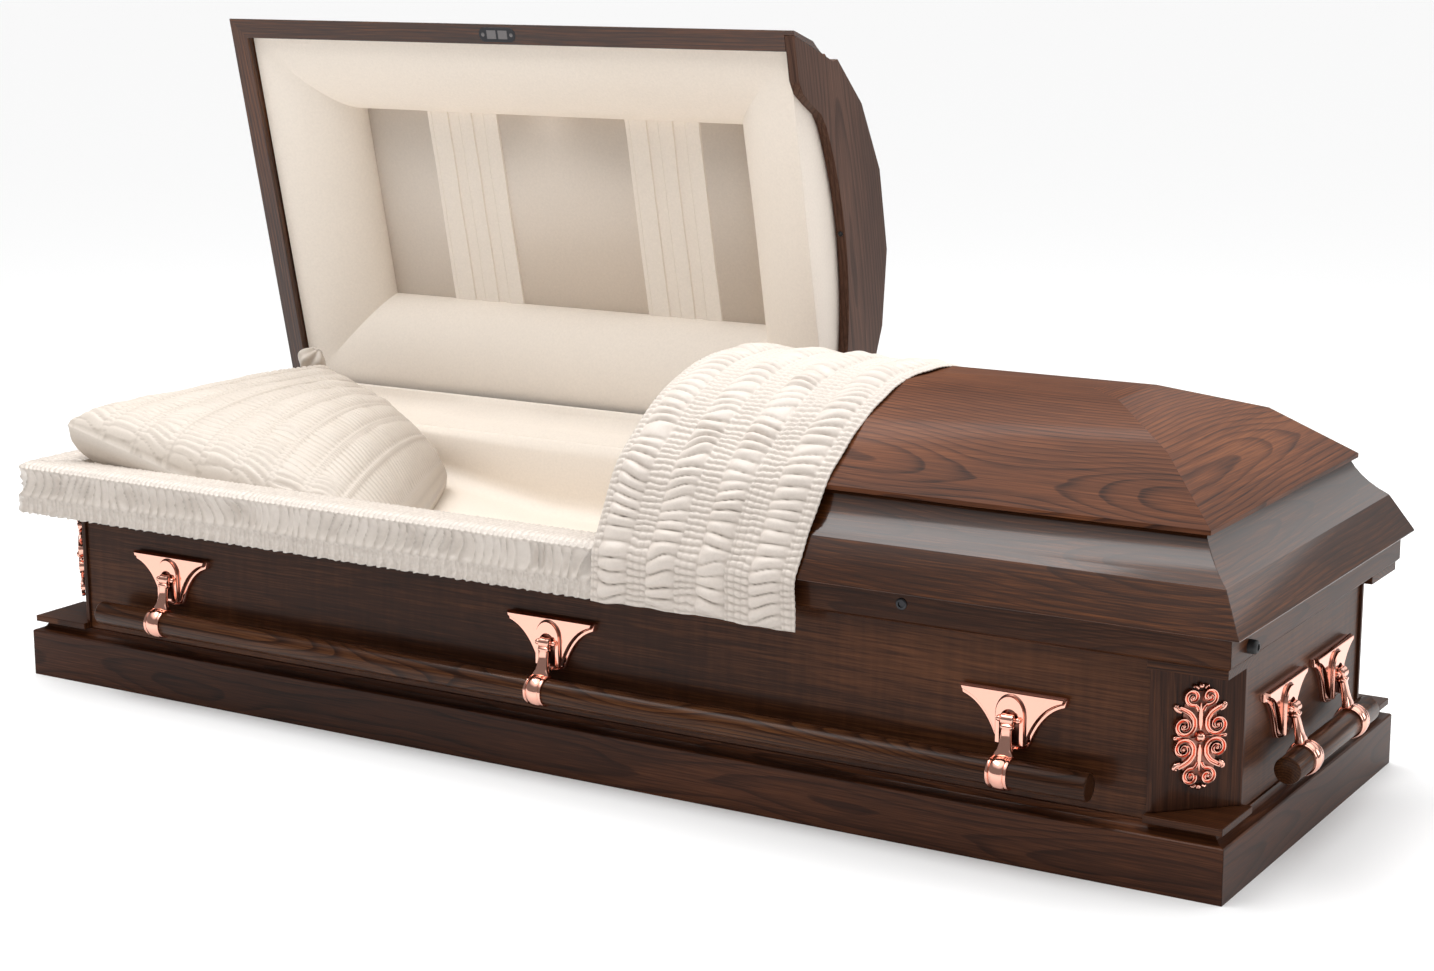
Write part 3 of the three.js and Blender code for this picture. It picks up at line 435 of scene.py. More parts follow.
arch_top = lid_open @ Matrix.Translation((0.084, 0, LID_BOTTOM + 0.1)) @ Matrix.Rotation(pi, 4, "X")
header_screw = bmesh.new()
turn(header_screw, [(0.0045, -0.001), (0.0045, 0.0015), (0.003, 0.003), (0.001, 0.0032)], 16, arch_top)
finish("header_screw", header_screw, dark_metal, "head_lid")

front_face = Matrix.Translation((0.586, -BASE_HALF_Y, 0.339)) @ Matrix.Rotation(pi / 2, 4, "X")
key_socket = bmesh.new()
turn(key_socket, [(0.0045, 0.0005), (0.0045, 0.0022), (0.0062, 0.0026), (0.0082, 0.0012), (0.0082, -0.001),
                  (0.0045, -0.001)], 28, front_face, ring=True)
turn(key_socket, [(0.0046, -0.0012), (0.0046, 0.0006), (0.002, 0.0006)], 20, front_face)
finish("key_socket", key_socket, dark_metal, "casket", sharp=50)

rubber, tree, shader = new_material("black_rubber")
shader.inputs["Base Color"].default_value = (0.012, 0.012, 0.013, 1)
shader.inputs["Roughness"].default_value = 0.55
place = add_node(tree, "ShaderNodeTexCoord").outputs["Object"]
grit = add_node(tree, "ShaderNodeTexNoise", {"Vector": place, "Scale": 900.0})
bump = add_node(tree, "ShaderNodeBump", {"Height": grit.outputs[0], "Strength": 0.1, "Distance": 0.0003})
tree.links.new(bump.outputs[0], shader.inputs["Normal"])
end_face = Matrix.Translation((BASE_HALF_X, -0.285, 0.331)) @ Matrix.Rotation(pi / 2, 4, "Y")
buffer = bmesh.new()
turn(buffer, [(0.0095, -0.001), (0.0095, 0.008), (0.0088, 0.0105), (0.0066, 0.0122), (0.0045, 0.0124),
              (0.0045, 0.0105), (0.001, 0.0105)], 24, end_face)
finish("rubber_buffer", buffer, rubber, "casket", sharp=50)

# Handle bars.
# Turned dowels of the same walnut with eased ends. Each runs through the rings of its arms, which
# hold it off the wall.
BAR_RADIUS = 0.019
BAR_TONES = ((0.010, 0.0036, 0.0018), (0.040, 0.014, 0.006), (0.130, 0.050, 0.018))
bar_woods = {
    "X": wood("bar_walnut", *BAR_TONES, centre=(0.36, 0.12), ring=0.0035, gloss=0.24),
    "Y": wood("end_bar_walnut", *BAR_TONES, along="Y", centre=(1.06, 0.12), ring=0.0035, gloss=0.24),
}
for side, axis in (("front", "X"), ("back", "X"), ("head", "Y"), ("foot", "Y")):
    low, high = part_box(f"{side}_handle_bar")
    middle = (low + high) / 2
    half = (high.x - low.x if axis == "X" else high.y - low.y) / 2
    ease = 0.0025
    profile = [
        (0.004, -half),
        (BAR_RADIUS - ease, -half),
        (BAR_RADIUS - ease * 0.3, -half + ease * 0.3),
        (BAR_RADIUS, -half + ease),
        (BAR_RADIUS, half - ease),
        (BAR_RADIUS - ease * 0.3, half - ease * 0.3),
        (BAR_RADIUS - ease, half),
        (0.004, half),
    ]
    lie = Matrix.Rotation(pi / 2, 4, "Y") if axis == "X" else Matrix.Rotation(-pi / 2, 4, "X")
    bar = bmesh.new()
    turn(bar, profile, 56, Matrix.Translation(middle) @ lie)
    finish(f"{side}_bar", bar, bar_woods[axis], f"{side}_handle", [f"{side}_handle_bar"], sharp=50)

# Handle plates and arms.
# Cast plates with a polished copper finish, screwed to the panels: concave wings on a stepped rim,
# and a boss with an arched pocket. The arm turns in the pocket on a pin, and rings the bar.
copper = metal("rose_copper", (0.87, 0.46, 0.36), 0.07, 0.05)
WALL_X, WALL_Y = 1.030, 0.327
PIVOT_OUT, PIVOT_Z = 0.0213, 0.202
BAR_OUT, BAR_DROP = 0.0393, 0.068


def plate_outline(grow):
    """Top edge, then the concave wings down to a narrow rounded foot. Z is up here, X across."""
    right = [(0.075 + grow * 0.45, 0.035)]
    start = (0.073 + grow * 0.3, 0.030 - grow)
    bend = (0.0375 + grow * 0.6, 0.020 - grow)
    end = (0.0195 + grow * 0.6, -0.033 - grow * 0.6)
    for i in range(13):
        t = i / 12
        right.append(tuple(
            (1 - t) ** 2 * start[k] + 2 * t * (1 - t) * bend[k] + t * t * end[k] for k in (0, 1)
        ))
    right += [(end[0] * cos(a), end[1] + (-0.004 - grow * 0.5) * sin(a)) for a in (pi * 0.16, pi * 0.33)]
    middle = [(0, end[1] - 0.005 - grow * 0.5)]
    left = [(-x, z) for x, z in reversed(right)]
    return list(reversed(right + middle + left))


def wider(outline, step):
    """The same outline, moved out evenly all round by one step."""
    moved = []
    points = [Vector(point) for point in outline]
    for before, here, after in zip(points[-1:] + points, points, points[1:] + points[:1]):
        a, b = (here - before).normalized(), (after - here).normalized()
        out = Vector((a.y + b.y, -a.x - b.x)).normalized()
        moved.append(here + out * step / out.dot(Vector((a.y, -a.x))))
    return moved


def arch_outline(half, top, bottom):
    rise = half * 1.25
    curve = [(half * cos(a), top - rise + rise * sin(a)) for a in np.linspace(0, pi, 15)]
    return [(half, bottom)] + curve + [(-half, bottom)]


def handle_plate(matrix):
    plate = bmesh.new()
    press(plate, plate_outline(0.007), [(0.0003, 0), (0.0065, 0.0002), (0.0078, 0.0012)], matrix)
    press(plate, plate_outline(0.0035), [(0.0070, 0), (0.0092, 0.0024)], matrix)
    face = wider(plate_outline(0), 0.0022)
    press(plate, face, [(0.0070, 0), (0.0128, 0.0018), (0.0140, 0.0028)], matrix)
    boss = arch_outline(0.0208, 0.0312, -0.0350) + arch_outline(0.0142, 0.0132, -0.0350)[::-1]
    press(plate, boss, [(0.0125, 0), (0.0176, 0), (0.0192, 0.0007)], matrix)
    return plate


def pocket(matrix):
    """The floor of the pocket in dark copper, as painted shade, which shows inside the boss and in the groove
    round it.
    """
    floor = bmesh.new()
    press(floor, arch_outline(0.0228, 0.0336, -0.0338), [(0.0132, 0), (0.0144, 0)], matrix)
    return floor


def arm_section(drop, half_x, half_z):
    """A square with soft corners, as 16 points at a distance down the arm."""
    section = []
    for i in range(16):
        c, s = cos(2 * pi * i / 16), sin(2 * pi * i / 16)
        section.append((copysign(half_x * abs(c) ** 0.5, c), -drop, copysign(half_z * abs(s) ** 0.5, s)))
    return section


def handle_arm(matrix):
    arm = bmesh.new()
    across = Matrix.Rotation(pi / 2, 4, "Y")
    lean = atan2(BAR_OUT - PIVOT_OUT, BAR_DROP)
    length = hypot(BAR_OUT - PIVOT_OUT, BAR_DROP)
    at_pivot = matrix @ Matrix.Translation((0, 0, PIVOT_OUT)) @ Matrix.Rotation(-lean, 4, "X")
    turn(arm, [(0.003, -0.0096), (0.0066, -0.0096), (0.0084, -0.0082), (0.0086, -0.0040), (0.0080, 0.0),
               (0.0086, 0.0040), (0.0084, 0.0082), (0.0066, 0.0096), (0.003, 0.0096)], 24, at_pivot @ across)
    pin = [(0.0016, -0.0178), (0.0032, -0.0174), (0.0032, 0.0174), (0.0016, 0.0178)]
    turn(arm, pin, 12, at_pivot @ across)
    for end in (-0.0138, 0.0138):
        ball = [(0.0044 * max(0.15, cos(a)), 0.0044 * sin(a)) for a in np.linspace(-pi / 2, pi / 2, 9)]
        turn(arm, ball, 16, at_pivot @ Matrix.Translation((end, 0, 0)) @ across)
    sizes_down = (
        (0.001, 0.0072, 0.0054), (0.0070, 0.0076, 0.0060), (0.0082, 0.0098, 0.0072), (0.0102, 0.0102, 0.0076),
        (0.0122, 0.0096, 0.0070), (0.0136, 0.0074, 0.0056), (0.024, 0.0078, 0.0050), (0.034, 0.0090, 0.0050),
        (0.041, 0.0108, 0.0052), (0.0455, 0.0138, 0.0062), (length - BAR_RADIUS - 0.0012, 0.0146, 0.0060),
    )
    loft(arm, [arm_section(*sizes) for sizes in sizes_down], at_pivot)
    inner, half = BAR_RADIUS + 0.0003, 0.0150
    lower = [
        (inner, -half), (inner + 0.0024, -half), (inner + 0.0032, 0.001 - half),
        (inner + 0.0032, 0.0035 - half), (inner + 0.0018, 0.0046 - half),
        (inner + 0.0036, 0.0062 - half), (inner + 0.0048, -0.003),
    ]
    upper = [(radius, -height) for radius, height in reversed(lower)]
    turn(arm, lower + upper, 40, at_pivot @ Matrix.Translation((0, -length, 0)) @ across, ring=True)
    return arm


# Dark copper as painted shade, for the pocket floors and for the webs behind the scrollwork.
shaded_copper = metal("painted_shade_copper", (0.24, 0.11, 0.085), 0.28)
SIDES = (
    ("front", 0.0, WALL_Y, (-0.747, 0.0, 0.747)),
    ("back", pi, WALL_Y, (-0.747, 0.0, 0.747)),
    ("head", -pi / 2, WALL_X, (-0.098, 0.098)),
    ("foot", pi / 2, WALL_X, (-0.098, 0.098)),
)
for side, facing, wall, stations in SIDES:
    outward = (
        Matrix.Rotation(facing, 4, "Z") @ Matrix.Translation((0, -wall, PIVOT_Z))
        @ Matrix.Rotation(pi / 2, 4, "X")
    )
    for i, station in enumerate(stations, 1):
        here = outward @ Matrix.Translation((station, 0, 0))
        finish(f"{side}_plate_{i}", handle_plate(here), copper, "casket", [f"{side}_handle_plate_{i}"],
               sharp=38)
        finish(f"{side}_pocket_{i}", pocket(here), shaded_copper, "casket")
        finish(f"{side}_arm_{i}", handle_arm(here), copper, f"{side}_handle", [f"{side}_handle_arm_{i}"],
               sharp=42)

# Corner ornaments.
# Cast copper scrollwork pinned to each canted post: two pairs of volutes round a bead, flared
# leaves above and below them, and a crest of small scrolls at both ends.
POST_X, POST_Y = 1.034, 0.331
ROUND = [(cos(2 * pi * k / 8), max(0.0, 0.5 + 0.5 * sin(2 * pi * k / 8))) for k in range(8)]
GROOVED = [(1, 0), (1, 0.55), (0.78, 0.96), (0.45, 0.92), (0.12, 0.42)]
GROOVED += [(-across, up) for across, up in reversed(GROOVED)]
CAST_FLOOR = 0.0006


def sweep(path, widths, heights, section):
    """A bar that follows a path in the plane and lies on it. The section is (across, up) shares."""
    loops = []
    count = len(path)
    for i, (x, y) in enumerate(path):
        before, after = path[max(i - 1, 0)], path[min(i + 1, count - 1)]
        along = Vector((after[0] - before[0], after[1] - before[1], 0)).normalized()
        side = Vector((-along.y, along.x, 0))
        spot = Vector((x, y, CAST_FLOOR))
        loops.append([spot + side * widths[i] * u + Vector((0, 0, heights[i] * v)) for u, v in section])
    return loops


def spiral(centre, radius, start, turns, inner, steps=26):
    path = []
    for i in range(steps + 1):
        t = i / steps
        r = radius + (inner - radius) * t ** 0.8
        a = start + turns * 2 * pi * t
        path.append((centre[0] + r * cos(a), centre[1] + r * sin(a)))
    return path


def smooth_path(points, steps=6):
    """Points joined by an even curve."""
    pts = [np.array(points[0]), *[np.array(p) for p in points], np.array(points[-1])]
    path = []
    for i in range(1, len(pts) - 2):
        a, b, c, d = pts[i - 1:i + 3]
        for k in range(steps):
            t = k / steps
            path.append(tuple(0.5 * (
                2 * b + (c - a) * t + (2 * a - 5 * b + 4 * c - d) * t * t + (3 * b - a - 3 * c + d) * t ** 3
            )))
    path.append(tuple(pts[-1]))
    return path


def taper(count, first, last, swell=0.0):
    return [first + (last - first) * t + swell * sin(pi * t) for t in np.linspace(0, 1, count)]


def bead(radius, level):
    return [(radius * max(0.12, cos(a)), level + radius * sin(a)) for a in np.linspace(-1.2, pi / 2, 8)]


def ornament(matrix):
    """Returns the scrollwork, and the thin web of metal behind it."""
    cast, web = bmesh.new(), bmesh.new()
    outline = []
    for i in range(72):
        a = 2 * pi * i / 72
        lobes = 1 - 0.10 * cos(4 * a) - 0.05 * cos(2 * a)
        outline.append((0.0265 * lobes * cos(a), 0.0640 * lobes * sin(a)))
    press(web, outline, [(0.0003, 0), (0.0018, 0.0002), (0.0024, 0.0010)], matrix)
    turn(cast, [(0.0078, 0.001), (0.0078, 0.0036), (0.0066, 0.0046), *bead(0.0066, 0.0050)[3:]], 24, matrix)

    def run(path, widths, heights, section, flip):
        loft(cast, sweep(path, widths, heights, section), flip)

    for side, up in product((1, -1), repeat=2):
        flip = matrix @ Matrix.Diagonal((side, up, 1, 1))
        horn = smooth_path([(0.0300, 0.0400), (0.0235, 0.0372), (0.0150, 0.0318), (0.0092, 0.0238)], 6)
        scroll = horn + spiral((0.0232, 0.0158), 0.0152, pi * 0.93, 1.62, 0.0026, 44)[1:]
        count = len(scroll)
        widths = [0.0036 + 0.0006 * sin(pi * min(1, i / 22)) - 0.0014 * max(0, i / count - 0.4) / 0.6
                  for i in range(count)]
        heights = [0.0052 + 0.0030 * min(1, i / count * 1.3) for i in range(count)]
        run(scroll, widths, heights, GROOVED, flip)
        tip = smooth_path([(0.0270, 0.0350), (0.0318, 0.0372), (0.0345, 0.0418), (0.0312, 0.0440)], 5)
        run(tip, taper(len(tip), 0.0022, 0.0016, 0.0012), taper(len(tip), 0.0058, 0.0040), ROUND, flip)
        crest = smooth_path([(0.0030, 0.0350), (0.0050, 0.0395)], 3)
        crest += spiral((0.0118, 0.0538), 0.0118, -pi * 0.60, 1.48, 0.0018, 36)
        run(crest, taper(len(crest), 0.0026, 0.0018, 0.0012), taper(len(crest), 0.0054, 0.0076), GROOVED,
            flip)
        frond = smooth_path([(0.0040, 0.0660), (0.0085, 0.0685), (0.0110, 0.0665)], 4)
        run(frond, taper(len(frond), 0.0028, 0.0014), taper(len(frond), 0.0060, 0.0040), ROUND, flip)
        for x, y, level in ((0.0235, 0.0158, 0.0064), (0.0118, 0.0538, 0.0058), (0.0300, 0.0400, 0.0040)):
            turn(cast, bead(0.0024, level), 12, flip @ Matrix.Translation((x, y, 0)))
    for way in (1, -1):
        flip = matrix @ Matrix.Diagonal((1, way, 1, 1))
        spear = smooth_path([(0, 0.0100), (0, 0.0200), (0, 0.0330), (0, 0.0455)], 4)
        run(spear, taper(len(spear), 0.0016, 0.0010, 0.0022), taper(len(spear), 0.0070, 0.0056), ROUND, flip)
        turn(cast, bead(0.0038, 0.0034), 14, flip @ Matrix.Translation((0, 0.0688, 0)))
        flip = matrix @ Matrix.Diagonal((way, 1, 1, 1))
        twig = smooth_path([(0.0070, 0), (0.0180, 0), (0.0300, 0), (0.0350, 0)], 4)
        run(twig, taper(len(twig), 0.0012, 0.0030), taper(len(twig), 0.0060, 0.0050), GROOVED, flip)
        turn(cast, bead(0.0030, 0.0036), 12, flip @ Matrix.Translation((0.0350, 0, 0)))
    return cast, web


for corner, sx, sy, facing in (("front_foot", 1, -1, pi / 4), ("front_head", -1, -1, -pi / 4),
                               ("back_foot", 1, 1, 3 * pi / 4), ("back_head", -1, 1, -3 * pi / 4)):
    spot = Matrix.Translation((sx * (POST_X - 0.045), sy * (POST_Y - 0.045), 0.202))
    cast, web = ornament(spot @ Matrix.Rotation(facing, 4, "Z") @ Matrix.Rotation(pi / 2, 4, "X"))
    finish(f"{corner}_scrollwork", cast, copper, "casket", [f"{corner}_ornament"], sharp=50)
    # The web is in the dark copper of painted shade, seen between the scrolls.
    finish(f"{corner}_web", web, shaded_copper, "casket")

# Interior lining.
# Ivory crepe over wadding, tacked inside the rim: soft walls, and a bed that rises to the head
# end. One padded piece lines the whole box.


def cloth(name, colour, rough, sheen=0.1, weave=0.18, scale=2600.0, folds=0.0):
    """Woven cloth. With folds, painted shade darkens it in the bottom of its gathers."""
    material, tree, shader = new_material(name)
    place = add_node(tree, "ShaderNodeTexCoord").outputs["Object"]
    threads = add_node(tree, "ShaderNodeTexNoise", {"Vector": place, "Scale": scale, "Detail": 1.0})
    crepe = add_node(tree, "ShaderNodeTexNoise", {
        "Vector": place, "Scale": 240.0, "Detail": 3.0, "Roughness": 0.6,
    })
    tint = add_node(tree, "ShaderNodeValToRGB", {0: crepe.outputs[0]})
    tint.color_ramp.elements[0].position = 0.3
    tint.color_ramp.elements[0].color = (*[c * 0.94 for c in colour], 1)
    tint.color_ramp.elements[1].position = 0.7
    tint.color_ramp.elements[1].color = (*colour, 1)
    colour_out = tint.outputs[0]
    if folds:
        # Painted shade: the colour is multiplied darker where the gathers close into creases.
        depth = add_node(tree, "ShaderNodeAttribute", attribute_name="crease_shade_openness")
        shade = add_node(tree, "ShaderNodeValToRGB", {0: depth.outputs["Fac"]})
        shade.color_ramp.elements[0].position = 0.05
        shade.color_ramp.elements[0].color = (1 - folds, 1 - folds * 1.08, 1 - folds * 1.16, 1)
        shade.color_ramp.elements[1].position = 0.62
        shade.color_ramp.elements[1].color = (1, 1, 1, 1)
        toned = add_node(tree, "ShaderNodeMix", {"Factor": 1.0, 6: tint.outputs[0], 7: shade.outputs[0]},
                         data_type="RGBA", blend_type="MULTIPLY")
        colour_out = toned.outputs[2]
    tree.links.new(colour_out, shader.inputs["Base Color"])
    shader.inputs["Roughness"].default_value = rough
    shader.inputs["Sheen Weight"].default_value = sheen
    shader.inputs["Sheen Roughness"].default_value = 0.5
    fine = add_node(tree, "ShaderNodeMath", {0: threads.outputs[0], 1: crepe.outputs[0]}, operation="ADD")
    bump = add_node(tree, "ShaderNodeBump", {
        "Height": fine.outputs[0], "Strength": weave, "Distance": 0.0006,
    })
    tree.links.new(bump.outputs[0], shader.inputs["Normal"])
    return material


def open_sheet(points, openness=None):
    """A grid laid through rows of points. How open the gathers are there, 0 to 1, is kept for the painted
    shade in their creases.
    """
    rows, columns = points.shape[:2]
    sheet = bmesh.new()
    bmesh.ops.create_grid(sheet, x_segments=columns - 1, y_segments=rows - 1, size=1)
    bmesh.ops.reverse_faces(sheet, faces=sheet.faces)
    folds = sheet.verts.layers.float.new("crease_shade_openness")
    marks = np.ones(rows * columns) if openness is None else np.clip(np.ravel(openness), 0, 1)
    for vert, point, mark in zip(sheet.verts, points.reshape(-1, 3), marks):
        vert.co = point
        vert[folds] = mark
    return sheet


def value_noise(x, y, seed=0):
    """Smooth noise from -1 to 1, the same at every run."""
    def corner(i, j):
        n = np.sin(i * 127.1 + j * 311.7 + seed * 74.7) * 43758.5453
        return 2 * (n - np.floor(n)) - 1
    xi, yi = np.floor(x), np.floor(y)
    xf, yf = x - xi, y - yi
    u, v = xf * xf * (3 - 2 * xf), yf * yf * (3 - 2 * yf)
    return (
        corner(xi, yi) * (1 - u) * (1 - v) + corner(xi + 1, yi) * u * (1 - v)
        + corner(xi, yi + 1) * (1 - u) * v + corner(xi + 1, yi + 1) * u * v
    )


def rectangle_loop(half_x, half_y, corner, per_side=60, per_corner=8):
    """Plan points round a rectangle with rounded corners, anticlockwise, evenly numbered."""
    points = []
    for k, (sx, sy) in enumerate(((1, 1), (-1, 1), (-1, -1), (1, -1))):
        cx, cy = sx * (half_x - corner), sy * (half_y - corner)
        for i in range(per_corner + 1):
            a = pi / 2 * (k + i / per_corner)
            points.append((cx + corner * cos(a), cy + corner * sin(a)))
        nx, ny = ((-1, 1), (-1, -1), (1, -1), (1, 1))[k]
        end = (nx * (half_x - corner) + (0 if k % 2 == 0 else nx * corner),
               ny * (half_y - corner) + (ny * corner if k % 2 == 0 else 0))
        begin = points[-1]
        for i in range(1, per_side):
            t = i / per_side
            points.append((begin[0] + (end[0] - begin[0]) * t, begin[1] + (end[1] - begin[1]) * t))
    return np.array(points)


ivory = cloth("ivory_crepe", (0.93, 0.845, 0.75), 0.8)
BED_Z, RIM_TOP = 0.226, 0.355
LINE_X, LINE_Y = 1.0114, 0.3084
RAMP_X, RAMP_RISE = -0.43, 0.088


def bed_level(x):
    t = np.clip((RAMP_X - x) / (RAMP_X + 0.9874), 0, 1)
    return BED_Z + RAMP_RISE * t


def lining_rings():
    """From the underside's middle out, up the outside, over the soft lip and down to the bed's middle."""
    rings = []
    outside = (
        (0.25, 0.2005, 0.108), (0.02, 0.2005, 0.108), (0.001, 0.2005, 0.108), (0.0, 0.215, 0.108),
        (0.0, 0.3119, 0.108), (0.0003, 0.3129, 0.003), (0.0003, 0.3500, 0.003),
    )
    for inset, z, corner in outside:
        plan = rectangle_loop(LINE_X - inset, LINE_Y - inset, corner)
        rings.append(np.column_stack([plan, np.full(len(plan), z)]))
    steps = 22
    for i in range(steps + 1):
        t = i / steps
        inset = 0.0035 + 0.0205 * min(1, t * 4) ** 0.5 if t < 0.25 else 0.024
        puff = 0.006 * sin(pi * min(1, max(0, (t - 0.12) / 0.8))) ** 0.8
        plan = rectangle_loop(LINE_X - inset + puff * 0.2, LINE_Y - inset - puff, 0.100)
        top = 0.3544 if t > 0 else 0.3535
        fall = max(0.0, (t - 0.10) / 0.90) ** 1.1
        level = bed_level(plan[:, 0])
        z = top + (level + 0.022 - top) * fall
        rings.append(np.column_stack([plan, z]))
    for i in range(1, 9):
        a = pi / 2 * i / 8
        inset = 0.024 + 0.026 * (1 - cos(a))
        plan = rectangle_loop(LINE_X - inset, LINE_Y - inset, 0.095)
        z = bed_level(plan[:, 0]) + 0.022 * (1 - sin(a))
        rings.append(np.column_stack([plan, z]))
    for t in (0.08, 0.2, 0.4, 0.65, 0.9, 1.0):
        inset = 0.05 + (LINE_Y - 0.0504) * t
        plan = rectangle_loop(LINE_X - inset, LINE_Y - inset, max(0.0003, 0.09 * (1 - t)))
        swell = 0.012 * sin(pi / 2 * t)
        rings.append(np.column_stack([plan, bed_level(plan[:, 0]) + swell]))
    return np.array(rings)


rings = lining_rings()
wrinkle = 0.0012 * value_noise(rings[:, :, 0] * 9, rings[:, :, 1] * 9 + rings[:, :, 2] * 16, 3)
rings[10:, :, 2] += wrinkle[10:]
padding = bmesh.new()
loft(padding, rings)
lining = finish("interior_padding", padding, ivory, "casket", ["body_lining"])

# Hinge apron.
# Along the hinge the same crepe goes on as a loose apron, over the rim and up to the lid's own
# lining. It is tacked along both edges and left slack between them, so that the lid can turn.
apron_path = np.array([
    (0.2860, 0.3250), (0.2900, 0.3420), (0.2990, 0.3560), (0.3120, 0.3650), (0.3260, 0.3700),
    (0.3400, 0.3755), (0.3500, 0.3830), (0.3555, 0.3920), (0.3580, 0.4010), (0.3600, 0.4040),
])
apron_x = np.linspace(-1.006, 0.088, 230)
apron_points = np.empty((len(apron_x), len(apron_path), 3))
for i, x in enumerate(apron_x):
    for j, (y, z) in enumerate(apron_path):
        loose = sin(pi * j / (len(apron_path) - 1))
        wave = float(value_noise(np.float64(x * 11), np.float64(j * 0.3), 51))
        apron_points[i, j] = (x, y - 0.0030 * loose * wave, z + 0.0040 * loose * wave)
apron = finish("hinge_apron", open_sheet(apron_points), ivory, "casket")
apron_solid = apron.modifiers.new("cloth", "SOLIDIFY")
apron_solid.thickness = 0.0015
apron_solid.offset = -1
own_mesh(apron)

# Lining of the head lid.
# Smooth ivory rolls, mitred at the corners and tacked inside the lid, round a sunk panel of a
# greyer cloth that carries two bands of flat tucks.
panel_cloth = cloth("sunk_panel_cloth", (0.82, 0.73, 0.64), 0.85, weave=0.1)
LINE_HEAD_X, LINE_FOOT_X = -1.067 + 0.0346, 0.0744
LINE_SIDE_Y = 0.3294
ROLL, SUNK, SET_IN = 0.152, 0.115, 0.014


def roll_rings():
    mid_x = (LINE_HEAD_X + LINE_FOOT_X) / 2
    half_x = (LINE_FOOT_X - LINE_HEAD_X) / 2
    per_x, per_y = 60, 36

    def ring(inset, depth_of):
        points = []
        hx, hy = half_x - inset, LINE_SIDE_Y - inset
        corners = ((hx, -hy), (hx, hy), (-hx, hy), (-hx, -hy))
        for k in range(4):
            a, b = corners[k], corners[(k + 1) % 4]
            count = per_y if k % 2 == 0 else per_x
            for i in range(count):
                t = i / count
                x, y = a[0] + (b[0] - a[0]) * t, a[1] + (b[1] - a[1]) * t
                points.append((mid_x + x, y, LID_BOTTOM + depth_of(mid_x + x, y, k, t)))
        return points

    def skirt(x, y, k, t):
        if x > LINE_FOOT_X - 0.002:
            return max(0.034, min(0.107, 0.034 + (LINE_SIDE_Y - abs(y)) * 1.05))
        return 0.032

    rings = [ring(0.0015, skirt)]
    rings.append(ring(0.0, lambda x, y, k, t: 0.5 * skirt(x, y, k, t) + 0.5 * (SET_IN + 0.006)))
    rings.append(ring(0.0, lambda x, y, k, t: SET_IN + 0.006))
    steps = 22
    for i in range(steps + 1):
        t = i / steps
        a = pi / 2 * t
        inset = 0.002 + (ROLL - 0.002) * sin(a) ** 0.96
        depth = SET_IN + (SUNK - SET_IN) * (1 - cos(a)) ** 0.92
        fade = 0.004 * sin(pi * t)

        def deep(x, y, k, u, depth=depth, fade=fade):
            return depth + fade * value_noise(np.float64(x * 5), np.float64(y * 5), 2)

        rings.append(ring(inset, deep))
    rings.append(ring(ROLL - 0.0005, lambda x, y, k, t: SUNK + 0.0015))
    rings.append(ring(ROLL - 0.0005, lambda x, y, k, t: SUNK + 0.006))
    return rings


rolls = bmesh.new()
loft(rolls, roll_rings(), lid_open, ring=True)
roll_piece = finish("head_lid_rolls", rolls, ivory, "head_lid", ["head_lid_lining"], sharp=24)

left, right = LINE_HEAD_X + ROLL - 0.004, LINE_FOOT_X - ROLL + 0.004
sunk_y = LINE_SIDE_Y - ROLL + 0.004
sunk = bmesh.new()
press(sunk, [(left, -sunk_y), (right, -sunk_y), (right, sunk_y), (left, sunk_y)],
      [(LID_BOTTOM + SUNK, 0), (LID_BOTTOM + SUNK + 0.003, 0)], lid_open)
finish("head_lid_sunk_panel", sunk, panel_cloth, "head_lid")


def tuck_band(x_from, x_to):
    """Three flat tucks with narrow folds between them, seen as steps across the band."""
    width = x_to - x_from
    edges = ((0.0, 0.30), (0.39, 0.64), (0.74, 1.0))
    xs, hs = [], []
    for low, high in edges:
        a, b = x_from + low * width, x_from + high * width
        xs += [a, a + 0.0012, a + 0.009, a + 0.0095, a + 0.0110, b - 0.0012, b]
        hs += [0.0006, 0.0034, 0.0036, 0.0028, 0.0036, 0.0032, 0.0006]
    rows = []
    for i in range(41):
        y = -sunk_y + 2 * sunk_y * i / 40
        jog = 0.0009 * value_noise(np.full(len(xs), y * 14), np.array(xs) * 40, 8)
        rows.append([(x + j, y, LID_BOTTOM + SUNK - h) for x, j, h in zip(xs, jog, hs)])
    top = np.array(rows)
    bottom = top.copy()
    bottom[:, :, 2] = LID_BOTTOM + SUNK + 0.0003
    return np.concatenate([top, bottom[:, ::-1]], axis=1)


for i, (x_from, x_to) in enumerate(((-0.744, -0.591), (-0.324, -0.173)), 1):
    tucks = bmesh.new()
    loft(tucks, tuck_band(x_from, x_to), lid_open)
    finish(f"head_lid_tucks_{i}", tucks, ivory, "head_lid", sharp=50)

# Throw.
# Soft satin, gathered by rows of stitching into wide puffs between narrow ribbed bands. It lies
# over the foot lid beside the split, and hangs down in front of the rim.
throw_satin = cloth("throw_satin", (0.68, 0.605, 0.54), 0.45, sheen=0.1, weave=0.1, folds=0.36)


